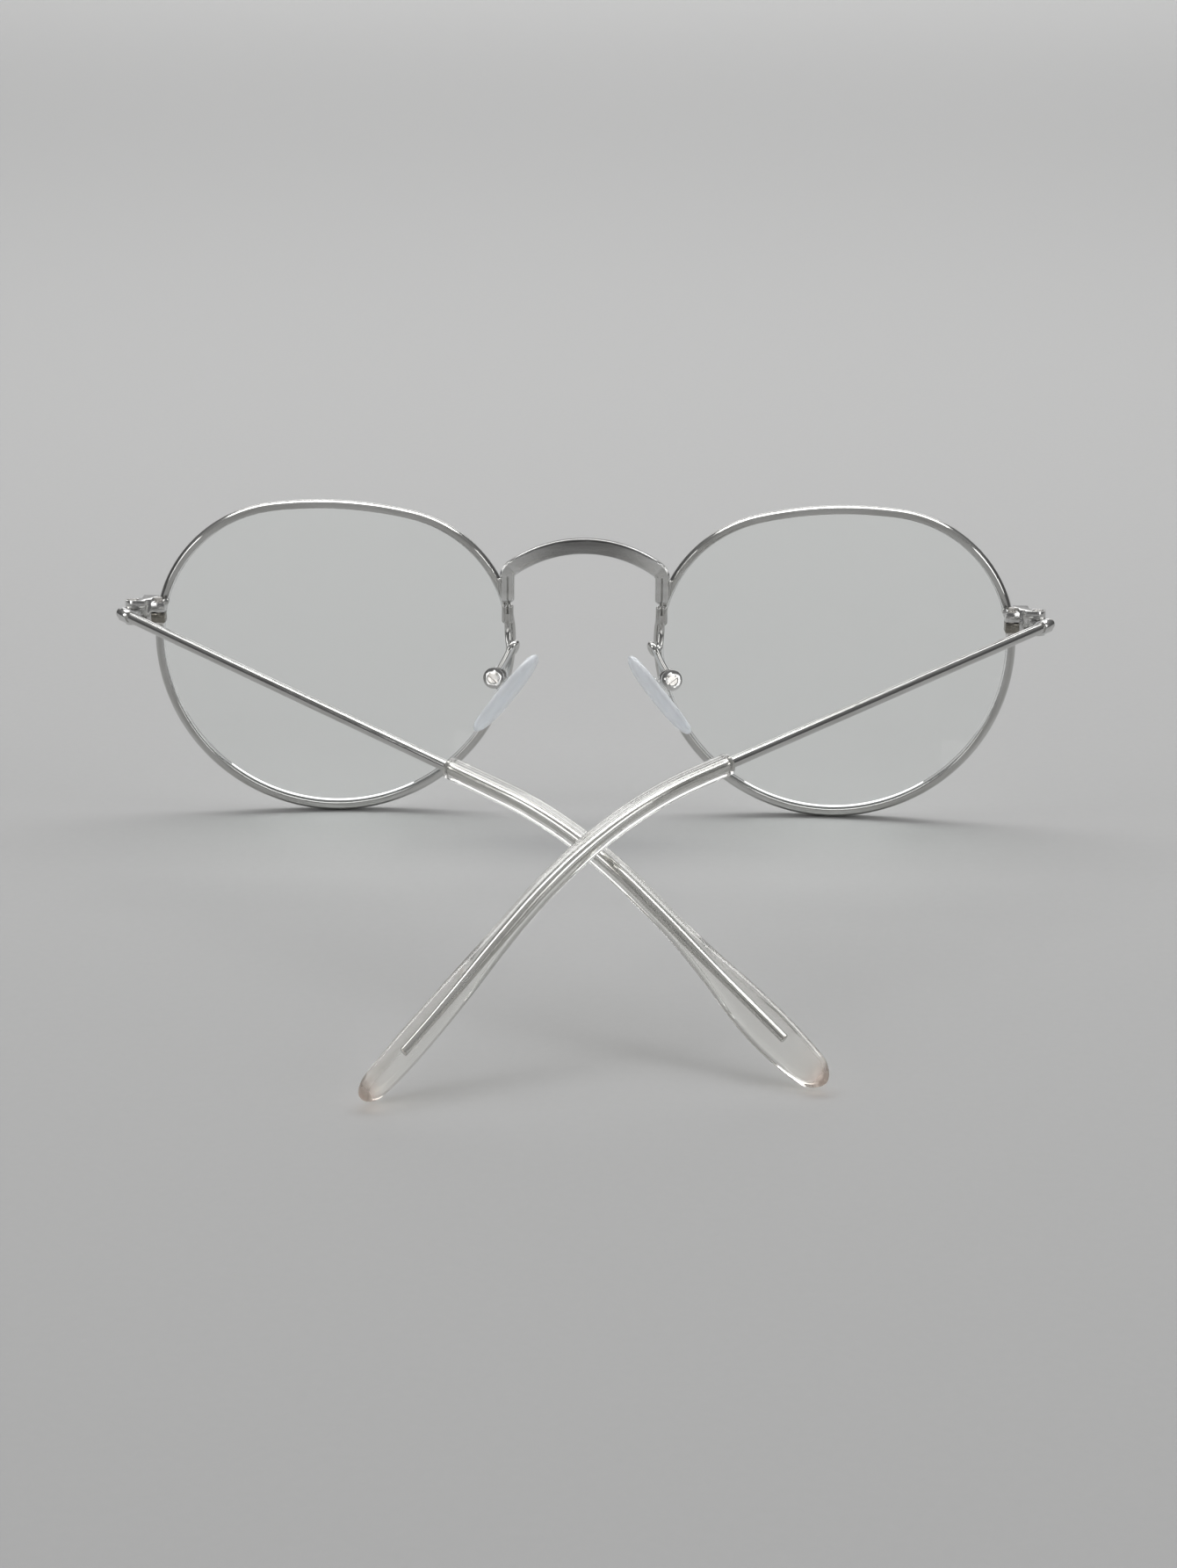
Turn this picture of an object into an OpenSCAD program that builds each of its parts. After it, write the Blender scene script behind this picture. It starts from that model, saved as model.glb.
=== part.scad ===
// Round metal eyeglasses, lying with both arms half folded and crossed.
// Sizes are in millimetres. The front faces -Y, the arms point to +Y, +Z is up.
// The left side is the wearer's left and lies at +X; the right side mirrors it.

/* [Lenses and rims] */
// Width of one lens
lens_w = 50; // [46:0.5:54]
// Height of the lens above its widest line
lens_top = 18.9; // [18:0.1:21]
// How much the top is flatter than the shoulders beside it
top_flatness = 0.6; // [0.4:0.05:1]
// Turn of the eye shape in its own plane, outer end up
eye_turn = 3.3; // [0:0.1:6]
// Thickness of the lens
lens_t = 1.6; // [1.4:0.1:2.2]
// Radius of the curve that the lens is ground to
lens_curve = 110; // [95:1:140]
// Thickness of the bevel that sits in the rim's groove
bevel_t = 0.8; // [0.6:0.05:0.9]
// Depth of the rim from front to back
rim_depth = 2; // [1.8:0.1:2.6]
// How far the rim stands out around the lens edge
rim_edge = 0.8; // [0.7:0.05:1.2]
// How far the rim's lips reach in over the lens
rim_lip = 0.35; // [0.25:0.05:0.5]
// Radius of the rim's rounded outer face
rim_round = 1.3; // [1.15:0.05:1.6]
// Width of the cut that lets the rim open for the lens
rim_cut = 0.2; // [0.1:0.05:0.4]

/* [Front] */
// Space between the two rims at the nose
rim_gap = 19.75; // [17:0.25:23]
// Lean of the front away from the arms
front_tilt = 3.5; // [0:0.1:8]
// Turn of each lens round the face
face_form = 3.2; // [0:0.1:6]

/* [Bridge] */
// Height of the strip, in the plane of the front
bridge_h = 2.2; // [1.8:0.1:2.6]
// Thickness of the strip
bridge_t = 1.3; // [1:0.05:1.6]
// Radius of the arch, along the middle of the strip
bridge_r = 18; // [16:0.1:20]
// Height of the arch's middle line above the widest line of the lenses
bridge_rise = 13.5; // [12:0.1:15]
// Bend between the arch and its feet
bridge_corner = 1.4; // [1.3:0.1:2.2]
// Radius of the strip's rounded edges
bridge_edge = 0.3; // [0.15:0.05:0.45]
// Distance of each foot from the middle plane
foot_x = 11; // [10.6:0.1:12]
// Radius of the two ridges that each foot ends in
foot_ridge_r = 0.5; // [0.4:0.05:0.6]
// Distance between the two ridges
foot_ridge_gap = 0.95; // [0.8:0.05:1.1]
// Lowest point of the bridge's feet above the lenses' widest line
foot_low = 5.2; // [4.8:0.1:5.8]

/* [Nose pads] */
// Length of the soft pad
pad_l = 14; // [11:0.1:16]
// Width of the soft pad
pad_w = 7.5; // [6:0.1:9]
// Thickness of the soft pad
pad_t = 1.9; // [1.7:0.1:2.6]
// Distance of the pad's centre from the middle plane
pad_x = 10.7; // [10:0.1:12]
// How far the pad's centre lies behind the rims' plane
pad_y = 8.1; // [7.8:0.1:10]
// How far the pad's centre lies below the lenses' widest line
pad_down = 6.4; // [5.6:0.1:8]
// Lean of the pad's top towards the nose
pad_lean = 38; // [25:1:45]
// Turn of the pad's face towards the back
pad_splay = 14; // [5:1:25]
// Outer diameter of the pad's box
box_d = 3; // [2.8:0.05:3.4]
// Thickness of the box's cheeks
box_cheek = 0.5; // [0.4:0.05:0.7]
// Width of the tab that the box holds
tab_w = 1.2; // [1:0.05:1.5]
// Diameter of the pad screw
pad_screw_d = 0.9; // [0.8:0.05:1]
// Diameter of the pad screw's head
pad_screw_head = 1.8; // [1.6:0.05:2]
// Diameter of the wire that carries the box
pad_wire_d = 0.95; // [0.8:0.05:1.1]

/* [Hinges] */
// Distance of the hinge pin from the rim's outer edge
hinge_out = 2.74; // [2.6:0.02:3.6]
// Distance of the hinge pin behind the rim's middle plane
hinge_back = 2.47; // [2.3:0.02:3]
// Height of the hinge above the lenses' widest line
hinge_rise = 3.95; // [2:0.05:6]
// Outer diameter of the knuckles
knuckle_d = 2.1; // [1.9:0.05:2.3]
// Height of the middle knuckle
knuckle_mid = 1.1; // [1:0.05:1.6]
// Height of the knuckles above and below it
knuckle_end = 1.15; // [0.9:0.05:1.5]
// Gap between knuckles, and between other parts that pass each other
hinge_gap = 0.05; // [0.03:0.01:0.08]
// Diameter of the hinge screw
hinge_screw_d = 1.2; // [1:0.05:1.3]
// Diameter of the hinge screw's head
hinge_head_d = 1.6; // [1.5:0.05:1.7]
// Height of the hinge screw's head
hinge_head_h = 0.4; // [0.3:0.05:0.6]
// Thickness of the endpiece's block, from the rim outwards
block_w = 1.5; // [1.3:0.05:1.5]
// Radial clearance of the screws in their bores
fit_gap = 0.04; // [0.02:0.01:0.08]

/* [Rim closing] */
// Width of the closing blocks
lock_w = 1.9; // [1.7:0.05:2]
// Depth of the closing blocks behind the rim
lock_d = 2.2; // [2:0.05:2.4]
// Height of each closing block
lock_h = 1.35; // [1.2:0.05:1.6]
// Diameter of the closing screw
lock_screw_d = 1; // [0.9:0.05:1.1]
// How far the closing screw's tip stands out on top
lock_screw_tip = 0.6; // [0.3:0.05:0.9]

/* [Arms] */
// Diameter of the arm's wire
wire_d = 1.55; // [1.4:0.05:1.8]
// Length of one arm from the hinge to its end
arm_l = 141; // [136:0.5:146]
// Distance from the hinge to the bend
bend_at = 93.5; // [88:0.5:98]
// Radius of the bend
bend_r = 75; // [60:1:90]
// Distance from the hinge to the start of the tip
sleeve_at = 70.6; // [64:0.2:76]
// How far the wire's butt stands past the pin
butt = 0.1; // [0.05:0.05:0.3]
// Length of the leaf that joins the wire to its knuckle
leaf_l = 2; // [1.6:0.1:2.2]
// Thickness of the leaf's clasp round the outside of the wire
clasp_t = 0.25; // [0.15:0.05:0.35]
// Angle between the left arm and the front, as it lies
left_fold = 44.5; // [43:0.5:47]
// Angle between the right arm and the front, as it lies
right_fold = 49.1; // [48:0.5:51]
// Slope of the left arm below its hinge
left_droop = 7.6; // [7:0.1:8]
// Slope of the right arm below its hinge
right_droop = 6; // [5.4:0.1:6.4]

/* [Arm tips] */
// Diameter of the tip's tube
tube_d = 2.9; // [2.6:0.05:3]
// Breadth of the tip near its end
paddle_w = 5; // [4:0.1:6]
// Thickness of the tip near its end
paddle_t = 2.6; // [2.3:0.05:2.9]
// How far the paddle's middle lies below the core
paddle_drop = 0.4; // [0:0.1:0.6]
// Length over which the tip widens
paddle_l = 30; // [20:1:34]
// Roll of the left tip, top inwards
left_roll = 26; // [0:1:30]
// Roll of the right tip, top inwards
right_roll = -12; // [-20:1:10]
// Diameter of the metal core inside the tip
core_d = 1; // [0.8:0.05:1.1]
// Distance from the core's end to the tip's end
core_short = 7.3; // [6:0.1:10]

/* [Hidden] */

$fn = 128;
smooth = 48;
sphere_fn = 360;
// Where two arcs meet, one is finer by this much and runs on into the other.
seam_inset = 0.01;
seam_turn = 0.8;

metal = [0.80, 0.80, 0.82];
dark_metal = [0.62, 0.62, 0.64];
glass = [0.85, 0.90, 0.88, 0.35];
silicone = [0.86, 0.92, 0.97, 0.6];
clear_plastic = [0.90, 0.88, 0.82, 0.6];

// Eye shape: a half circle below, two shoulders and a flatter top, all tangent.
lens_r = lens_w / 2;
shoulder_r = lens_top - top_flatness;
shoulder_x = lens_r - shoulder_r;
top_r = (shoulder_x * shoulder_x + lens_top * lens_top - shoulder_r * shoulder_r)
    / (2 * top_flatness);
top_y = lens_top - top_r;
shoulder_sweep = atan2(-top_y, shoulder_x);

lens_fit = 0.05;
groove_w = bevel_t + 2 * lens_fit;
lens_inset = rim_lip + 2 * lens_fit;
// How far the bevel's ring runs in under the lens's edge
bevel_root = 0.3;
// The lens's curve is centred on the middle of its height.
lens_mid = (lens_top - lens_r) / 2;
lens_sag = lens_curve - sqrt(lens_curve * lens_curve - lens_r * lens_r);
// Its back edge lies a little inside the rim's rear plane at the widest line.
lens_apex = lens_sag + lens_t + lens_fit - rim_depth / 2;

rim_r = lens_r + rim_edge;
eye_x = rim_gap / 2 + rim_r * cos(face_form);
eye_z = rim_r;
rim_out_x = eye_x + rim_r * cos(face_form);
rim_out_y = rim_r * sin(face_form);

// Depth of the rims' rear plane at a distance x from the middle
function rear_y(x) = (x - eye_x) * tan(face_form) + rim_depth / 2 / cos(face_form);

// Bridge
arch_z = eye_z + bridge_rise - bridge_r;
arch_half = asin((foot_x - bridge_corner) / (bridge_r - bridge_corner));
corner_z = arch_z + (bridge_r - bridge_corner) * cos(arch_half);
bridge_y = rear_y(foot_x) + bridge_t / 2;
seat_flat = 0.08;
ridge_y = rear_y(foot_x) + foot_ridge_r - seat_flat;

// Hinge, in the upright frame of the front
hinge_x = rim_out_x + hinge_out;
hinge_y = rim_out_y + hinge_back;
hinge_z = eye_z + hinge_rise;
knuckle_r = knuckle_d / 2;
end_low = knuckle_mid / 2 + hinge_gap;
end_high = end_low + knuckle_end;
block_x = hinge_x - knuckle_r - 2 * hinge_gap;

// Arms
wire_r = wire_d / 2;
wire_in = 0.02;
// Distance of the wire's middle line from the pin
wire_out = knuckle_r + wire_r + 2 * hinge_gap - wire_in;
tube_r = tube_d / 2;
clasp_from = 0.4;
leaf_back = 0.8;
leaf_seat = 0.6;
core_r = core_d / 2;
tip_l = arm_l - sleeve_at;
end_r = paddle_w / 2;
core_room = 0.06;
bore_r = core_r + core_room;
core_end_room = 0.2;

// The part stands on the rims' lowest points and on the arms' ends.
lift = rim_round * (1 - cos(front_tilt));
function world_y(y, z) = y * cos(front_tilt) - z * sin(front_tilt);
function world_z(y, z) = y * sin(front_tilt) + z * cos(front_tilt) + lift;

// Depth of the rounded end below its centre, for a tip with a roll and a slope
function tip_under(roll, slope) = paddle_drop * cos(roll) * cos(slope) + norm([
    end_r * sin(slope),
    paddle_w / 2 * cos(roll) * cos(slope),
    paddle_t / 2 * sin(roll) * cos(slope),
]);
// Length that the rounded bend saves on the sharp corner
function bend_saves(bend) = bend_r * (2 * tan(bend / 2) - bend * PI / 180);
// Slope past the bend at which the end just rests on the surface, from a first guess
function slope_from(fold, droop, roll, guess) =
    let (
        start = world_z(hinge_y + wire_out * cos(fold), hinge_z),
        along = cos(droop) * sin(fold) * sin(front_tilt) - sin(droop) * cos(front_tilt),
        fall = start + bend_at * along - tip_under(roll, guess),
        rest_l = arm_l - bend_at - end_r + bend_saves(guess - droop),
        a = rest_l * cos(front_tilt),
        b = rest_l * sin(fold) * sin(front_tilt)
    )
    asin(fall / norm([a, b])) + atan2(b, a);
first_slope = 28;
function end_slope(fold, droop, roll) =
    slope_from(fold, droop, roll, slope_from(fold, droop, roll, first_slope));
left_bend = end_slope(left_fold, left_droop, left_roll) - left_droop;
right_bend = end_slope(right_fold, right_droop, right_roll) - right_droop;

// Distance from the hinge at which the bend starts
function bend_start(bend) = bend_at - bend_r * tan(bend / 2);
// Turn of the arm at a distance s from the hinge
function turn_at(s, bend) = min(max(s - bend_start(bend), 0) / bend_r * 180 / PI, bend);
// Point of the arm's middle line, as [along, up]
function arm_point(s, bend) =
    let (
        turn = turn_at(s, bend),
        first = min(s, bend_start(bend)),
        last = max(s - bend_start(bend) - bend_r * bend * PI / 180, 0)
    )
    [
        first + bend_r * sin(turn) + last * cos(bend),
        -bend_r * (1 - cos(turn)) - last * sin(bend),
    ];

// Middle of the part's depth and width, where its origin lies
function end_y(fold, droop, bend) =
    let (
        run = bend_at * cos(droop) + (arm_l - bend_at) * cos(droop + bend),
        fall = bend_at * sin(droop) + (arm_l - bend_at) * sin(droop + bend)
    )
    world_y(hinge_y + wire_out * cos(fold) + run * sin(fold), hinge_z - fall);
// How far the tips' rounded ends reach past their middle lines
end_round = 0.4;
back_y = end_round + max(end_y(left_fold, left_droop, left_bend),
    end_y(right_fold, right_droop, right_bend));
front_y = world_y((lens_curve - lens_apex) * cos(face_form), eye_z + lens_mid) - lens_curve;
mid_y = (front_y + back_y) / 2;
function side_x(fold) = hinge_x + butt * cos(fold) + wire_out * sin(fold) + wire_r;
mid_x = (side_x(left_fold) - side_x(right_fold)) / 2;

// Nose pad frame: pad_a runs up the pad, pad_n out of its face to the nose
pad_c = [pad_x, pad_y, eye_z - pad_down];
pad_a = [-sin(pad_lean), 0, cos(pad_lean)];
pad_n = [-cos(pad_lean) * cos(pad_splay), sin(pad_splay), -sin(pad_lean) * cos(pad_splay)];
pad_back_share = 0.42;
pad_back = pad_t * pad_back_share;
plate_t = 0.35;
plate_r = 2;
box_r = box_d / 2;
box_up = 0.7;
plate_gap = 0.1;
box_z = -(pad_back + plate_t + box_r + plate_gap);
box_half = tab_w / 2 + hinge_gap + box_cheek;
box_c = pad_c + box_up * pad_a + box_z * pad_n;

// Wire of the pad arm: from the rim down, back and up, then over to the box
pad_wire_r = pad_wire_d / 2;
// Two short ridges beside the pad arm's foot, soldered on with it
pad_ridge_r = 0.42;
pad_ridge_x = 0.425;
pad_ridge_l = 2;
pad_ridge_low = 2.5;
wire_seat = foot_ridge_r - seat_flat;
pad_foot = [foot_x, rear_y(foot_x) + wire_seat, eye_z];
pad_rise = [-1.5, 6, 0.5];
pad_apex = pad_foot + pad_rise;
// The point behind it keeps the bend wider than the wire
pad_over = [-0.9, 7, 0.2];
// The wire comes to the box at right angles to its screw
pad_side = cross(pad_a, pad_n);
to_apex = pad_apex - box_c;
box_in = to_apex - (to_apex * pad_side) * pad_side;
box_top = box_in / norm(box_in);
wire_end_gap = 0.06;
box_lead = 1.9;
// Points of the loop from the foot to the highest point, seen from the foot's middle
pad_loop = [
    [0, 0, 3.6],
    [0, 0, 2.2],
    [-0.05, 0.2, 0.6],
    [-0.3, 1.1, -1],
    [-0.9, 2.9, -1.4],
    [-1.4, 4.7, -0.4],
    pad_rise,
    pad_over,
];
pad_path = concat(
    [for (step = pad_loop) pad_foot + step],
    [box_c + (box_r + box_lead) * box_top, box_c + (box_r + wire_end_gap) * box_top]
);

// Tip outline: half breadth and half thickness at a distance q from its start
function ease(t) = t <= 0 ? 0 : t >= 1 ? 1 : t * t * (3 - 2 * t);
function widen(q) = ease((q - (tip_l - paddle_l)) / (paddle_l - end_r));
function cap(q) =
    let (t = (q - (tip_l - end_r)) / end_r)
    t <= 0 ? 1 : sqrt(max(1 - t * t, 0));
function half_w(q) = (tube_r + (paddle_w / 2 - tube_r) * widen(q)) * cap(q);
// Below 1 the end's edge is blunter than an ellipse
end_power = 0.8;
function half_t(q) = (tube_r + (paddle_t / 2 - tube_r) * widen(q)) * pow(cap(q), end_power);

tip_sides = 20;
// Stations along the tip: even steps, then closer ones round the end
tip_steps = 26;
cap_steps = 7;
tip_stations = concat(
    [for (i = [0:tip_steps]) (tip_l - end_r) * i / tip_steps],
    [for (i = [1:cap_steps]) tip_l - end_r * (1 - sin(88 * i / cap_steps))]
);
bore_steps = 14;
bore_stations = [for (i = [0:bore_steps]) (tip_l - core_short + core_end_room) * i / bore_steps];

// Ring of points round the arm's middle line at a distance s from the hinge
function tip_ring(s, bend, roll, w, t, drop) =
    let (p = arm_point(s, bend), turn = turn_at(s, bend))
    [
        for (i = [0:tip_sides - 1])
            let (
                a = 360 * i / tip_sides,
                y = t * cos(a),
                z = w * sin(a) - drop,
                side = y * cos(roll) + z * sin(roll),
                up = z * cos(roll) - y * sin(roll)
            )
            [p[0] + up * sin(turn), side, p[1] + up * cos(turn)]
    ];

// Faces between rings of n points; flip turns them inside out
function ring_faces(rings, n, from, flip) = [
    for (k = [0:rings - 2], i = [0:n - 1], half = [0, 1])
        let (
            a = from + k * n + i,
            b = from + k * n + (i + 1) % n,
            tri = half == 0 ? [a, a + n, b] : [b, a + n, b + n]
        )
        flip ? [tri[2], tri[1], tri[0]] : tri
];

// Smooth curve through a list of points
function curve_point(p, i, t) =
    let (
        n = len(p) - 1,
        a = p[max(i - 1, 0)],
        b = p[i],
        c = p[i + 1],
        d = p[min(i + 2, n)]
    )
    0.5 * (2 * b + (c - a) * t + (2 * a - 5 * b + 4 * c - d) * t * t
        + (3 * b - a - 3 * c + d) * t * t * t);
function curve(p, steps) = concat(
    [for (i = [0:len(p) - 2], k = [0:steps - 1]) curve_point(p, i, k / steps)],
    [p[len(p) - 1]]
);
function unit(v) = v / norm(v);
function direction(p, i) = unit(p[min(i + 1, len(p) - 1)] - p[max(i - 1, 0)]);

// Places the front's upright frame on the surface
module stand() {
    translate([-mid_x, -mid_y, lift]) rotate([front_tilt, 0, 0]) children();
}

module left() {
    stand() children();
}

module right() {
    stand() mirror([1, 0, 0]) children();
}

// Frame of an arm: X along it, +Y to the inside, Z along the hinge pin
module arm(fold) {
    translate([hinge_x, hinge_y, hinge_z]) rotate([0, 0, 180 - fold]) children();
}

// Frame of a lens: X to the outer side, Y up, Z to the front
module eye() {
    translate([eye_x, 0, eye_z]) rotate([0, 0, face_form]) rotate([90, 0, 0])
        rotate([0, 0, eye_turn]) children();
}

// Frame of a nose pad: X to the front, Y up the pad, Z to the nose
module pad_frame() {
    translate(pad_c) rotate([0, -pad_lean, 0]) rotate([0, 0, -90 - pad_splay])
        rotate([90, 0, 0]) children();
}

module arc(x, y, r, from, sweep) {
    translate([x, y, 0]) rotate([0, 0, from]) rotate_extrude(angle = sweep)
        translate([r, 0]) children();
}

// Sweeps a section round the eye shape; the section's zero lies on the lens edge.
// The second child is the same section, finer by seam_inset: it runs round the
// shoulders and a little way into the arcs beside them.
module around_eye() {
    arc(0, 0, lens_r, 180, 180) children(0);
    arc(0, top_y, top_r, shoulder_sweep, 180 - 2 * shoulder_sweep) children(0);
    arc(shoulder_x, 0, shoulder_r, -seam_turn, shoulder_sweep + 2 * seam_turn) children(1);
    arc(-shoulder_x, 0, shoulder_r, 180 - shoulder_sweep - seam_turn,
        shoulder_sweep + 2 * seam_turn) children(1);
}

// Points of an arc round a centre, without its last point
function arc_points(c, r, from, sweep, n) = [
    for (i = [0:n - 1]) c + r * [cos(from + sweep * i / n), sin(from + sweep * i / n)]
];
// Outline of the eye shape, larger all round by an offset
function eye_outline(out) = concat(
    arc_points([0, 0], lens_r + out, 180, 180, 48),
    arc_points([shoulder_x, 0], shoulder_r + out, 0, shoulder_sweep, 20),
    arc_points([0, top_y], top_r + out, shoulder_sweep, 180 - 2 * shoulder_sweep, 8),
    arc_points([-shoulder_x, 0], shoulder_r + out, 180 - shoulder_sweep, shoulder_sweep, 20)
);

// Flat plate with the eye's outline, centred on the rim's middle plane
module eye_plate(out, h) {
    linear_extrude(height = h, center = true) polygon(eye_outline(out));
}

// Everything in front of the rim's rear plane
module ahead_of_rear() {
    reach = 3 * lens_r;
    eye() translate([-reach, -reach, -rim_depth / 2]) cube([2 * reach, 2 * reach, reach]);
}

// Outer face of the rim with a little room round it
module rim_room(room) {
    eye() around_eye() {
        translate([rim_edge - rim_round, 0]) circle(r = rim_round + room + seam_inset);
        translate([rim_edge - rim_round, 0]) circle(r = rim_round + room);
    }
}

// Section of the rim: rounded outside, two lips and the lens groove inside
module rim_section(inset) {
    difference() {
        intersection() {
            translate([rim_edge - rim_round, 0]) circle(r = rim_round - inset);
            translate([inset - rim_lip, inset - rim_depth / 2])
                square([rim_lip + rim_edge, rim_depth - 2 * inset]);
        }
        translate([-2 * rim_lip, -inset - groove_w / 2])
            square([2 * rim_lip + inset, groove_w + 2 * inset]);
    }
}

module rim() {
    color(metal) difference() {
        eye() around_eye() {
            rim_section(0);
            rim_section(seam_inset);
        }
        translate([rim_out_x - 2 * rim_edge, rim_out_y - rim_depth, hinge_z - rim_cut / 2])
            cube([3 * rim_edge, 2 * rim_depth, rim_cut]);
    }
}

module lens() {
    color(glass) eye() {
        intersection() {
            eye_plate(-lens_inset, 3 * lens_apex);
            translate([0, lens_mid, lens_apex - lens_curve]) difference() {
                sphere(r = lens_curve, $fn = sphere_fn);
                sphere(r = lens_curve - lens_t, $fn = sphere_fn);
            }
        }
        difference() {
            eye_plate(-lens_fit, bevel_t);
            eye_plate(-lens_inset - bevel_root, 2 * bevel_t);
        }
    }
}

// Section of the bridge's strip: flat faces and rounded edges
module strip(inset) {
    x = bridge_h / 2 - bridge_edge;
    y = bridge_t / 2 - bridge_edge;
    r = bridge_edge - inset;
    square([2 * x, 2 * (y + r)], center = true);
    square([2 * (x + r), 2 * y], center = true);
    for (side = [-1, 1], face = [-1, 1])
        translate([side * x, face * y]) circle(r = r);
}

// Bend from the arch down to one foot
module bridge_bend() {
    overlap = 4;
    translate([foot_x - bridge_corner, bridge_y, corner_z]) rotate([90, 0, 0])
        rotate_extrude(angle = 90 - arch_half + overlap) translate([bridge_corner, 0])
        strip(2 * seam_inset);
}

module bridge_foot() {
    for (side = [-1, 1])
        translate([foot_x + side * foot_ridge_gap / 2, ridge_y, eye_z + foot_low + foot_ridge_r]) {
            cylinder(r = foot_ridge_r, h = corner_z - eye_z - foot_low, $fn = smooth);
            sphere(r = foot_ridge_r, $fn = smooth);
        }
}

module bridge() {
    color(metal) difference() {
        union() {
            translate([0, bridge_y, arch_z]) rotate([90, 0, 0]) arc(0, 0, bridge_r, 90 - arch_half,
                2 * arch_half) strip(0);
            for (side = [0, 1])
                mirror([side, 0, 0]) {
                    bridge_bend();
                    bridge_foot();
                }
        }
        ahead_of_rear();
        mirror([1, 0, 0]) ahead_of_rear();
    }
}

// Position of the closing screw behind the rim
lock_past_rim = 0.05;
lock_x = rim_out_x - lock_w / 2 + lock_past_rim;
lock_front = rear_y(lock_x);
lock_screw_share = 0.6;
lock_screw_y = lock_front + lock_d * lock_screw_share;
// How far the blocks reach into the rim before they are trimmed to it
lock_sink = 0.3;
lock_gap = rim_cut / 2;
lock_head_r = 0.8;
lock_head_h = 0.45;
solder_r = 0.45;
solder_l = 1.2;
solder_sink = 0.1;

// Closing block above or below the cut in the rim
module lock_block(low) {
    difference() {
        union() {
            translate([lock_x - lock_w / 2, lock_front - lock_sink, low])
                cube([lock_w, lock_d + lock_sink, lock_h]);
            children();
        }
        ahead_of_rear();
        translate([lock_x, lock_screw_y, low - 1])
            cylinder(d = lock_screw_d + 2 * fit_gap, h = lock_h + 2, $fn = smooth);
    }
}

module rim_lock_upper() {
    // The block carries a bead of solder along its inner corner.
    color(metal) lock_block(hinge_z + lock_gap)
        translate([lock_x - lock_w / 2, lock_front - lock_sink, hinge_z + lock_gap + lock_h - solder_sink])
        rotate([-90, 0, 0]) cylinder(r = solder_r, h = solder_l + lock_sink, $fn = smooth);
}

module rim_lock_lower() {
    color(metal) lock_block(hinge_z - lock_gap - lock_h);
}

// Screw with a slotted head at the bottom end of its shank, which points up
module screw(d, l, head_d, head_h) {
    difference() {
        union() {
            cylinder(d = d, h = l, $fn = smooth);
            translate([0, 0, -head_h]) cylinder(d = head_d, h = head_h, $fn = smooth);
        }
        translate([-head_d, -head_d / 12, -head_h - 1]) cube([2 * head_d, head_d / 6, 1 + head_h / 2]);
    }
}

module closing_screw() {
    color(dark_metal) translate([lock_x, lock_screw_y, hinge_z - lock_gap - lock_h])
        screw(lock_screw_d, 2 * (lock_h + lock_gap) + lock_screw_tip, 2 * lock_head_r, lock_head_h);
}

// Knuckle with the plate that joins it to the endpiece's block
module end_knuckle(low) {
    translate([hinge_x, hinge_y, low]) cylinder(r = knuckle_r, h = knuckle_end, $fn = smooth);
    translate([block_x - block_w / 2, hinge_y - knuckle_r, low])
        cube([hinge_x - block_x + block_w / 2, knuckle_d, knuckle_end]);
}

// The endpiece's block starts ahead of the rim's middle; its saddle reaches over the rim.
block_ahead = 0.85;
saddle_in = 0.6;
saddle_short = 0.1;
saddle_room = 0.02;
block_y = rim_out_y - block_ahead;
block_d = hinge_y - block_y;
saddle_d = rear_y(rim_out_x) - block_y - saddle_short;

module endpiece() {
    color(metal) difference() {
        union() {
            translate([block_x - block_w, block_y, hinge_z - end_high])
                cube([block_w, block_d, 2 * end_high]);
            translate([block_x - block_w - saddle_in, block_y, hinge_z - end_high])
                cube([block_w, saddle_d, 2 * end_high]);
            end_knuckle(hinge_z + end_low);
            end_knuckle(hinge_z - end_high);
        }
        rim_room(saddle_room);
        translate([hinge_x, hinge_y, hinge_z - end_high - 1])
            cylinder(d = hinge_screw_d + 2 * fit_gap, h = 2 * end_high + 2, $fn = smooth);
        translate([hinge_x, hinge_y, hinge_z + end_high - hinge_head_h])
            cylinder(d = hinge_head_d + 2 * fit_gap, h = hinge_head_h + 1, $fn = smooth);
    }
}

module hinge_screw() {
    color(dark_metal) translate([hinge_x, hinge_y, hinge_z + end_high - hinge_head_h])
        mirror([0, 0, 1]) screw(hinge_screw_d, 2 * end_high - hinge_head_h, hinge_head_d, hinge_head_h);
}

// Part of the leaf that clasps the wire from outside, clear of the endpiece
module clasp(droop) {
    clear_y = knuckle_r + 2 * hinge_gap;
    difference() {
        translate([0, -wire_out, 0]) rotate([0, droop, 0]) translate([clasp_from, 0, 0])
            rotate([0, 90, 0])
            cylinder(r = wire_r + clasp_t, h = leaf_l - clasp_from, $fn = smooth);
        translate([-leaf_l, -clear_y, -leaf_l]) cube(3 * leaf_l);
    }
}

// Arm's knuckle with the leaf that carries the wire
module temple_hinge(droop) {
    seat = wire_r * leaf_seat;
    color(metal) difference() {
        union() {
            translate([0, 0, -knuckle_mid / 2]) {
                cylinder(r = knuckle_r, h = knuckle_mid, $fn = smooth);
                translate([-leaf_back, -wire_out + seat, 0])
                    cube([leaf_l + leaf_back, wire_out - seat, knuckle_mid]);
            }
            clasp(droop);
        }
        translate([0, 0, -knuckle_mid])
            cylinder(d = hinge_screw_d + 2 * fit_gap, h = 2 * knuckle_mid, $fn = smooth);
        translate([0, -wire_out, 0]) rotate([0, droop, 0]) translate([-leaf_l, 0, 0])
            rotate([0, 90, 0]) cylinder(r = wire_r, h = 3 * leaf_l, $fn = smooth);
    }
}

// Frame of the arm's wire: X along its first stretch
module wire_frame(droop) {
    translate([0, -wire_out, 0]) rotate([0, droop, 0]) children();
}

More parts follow.
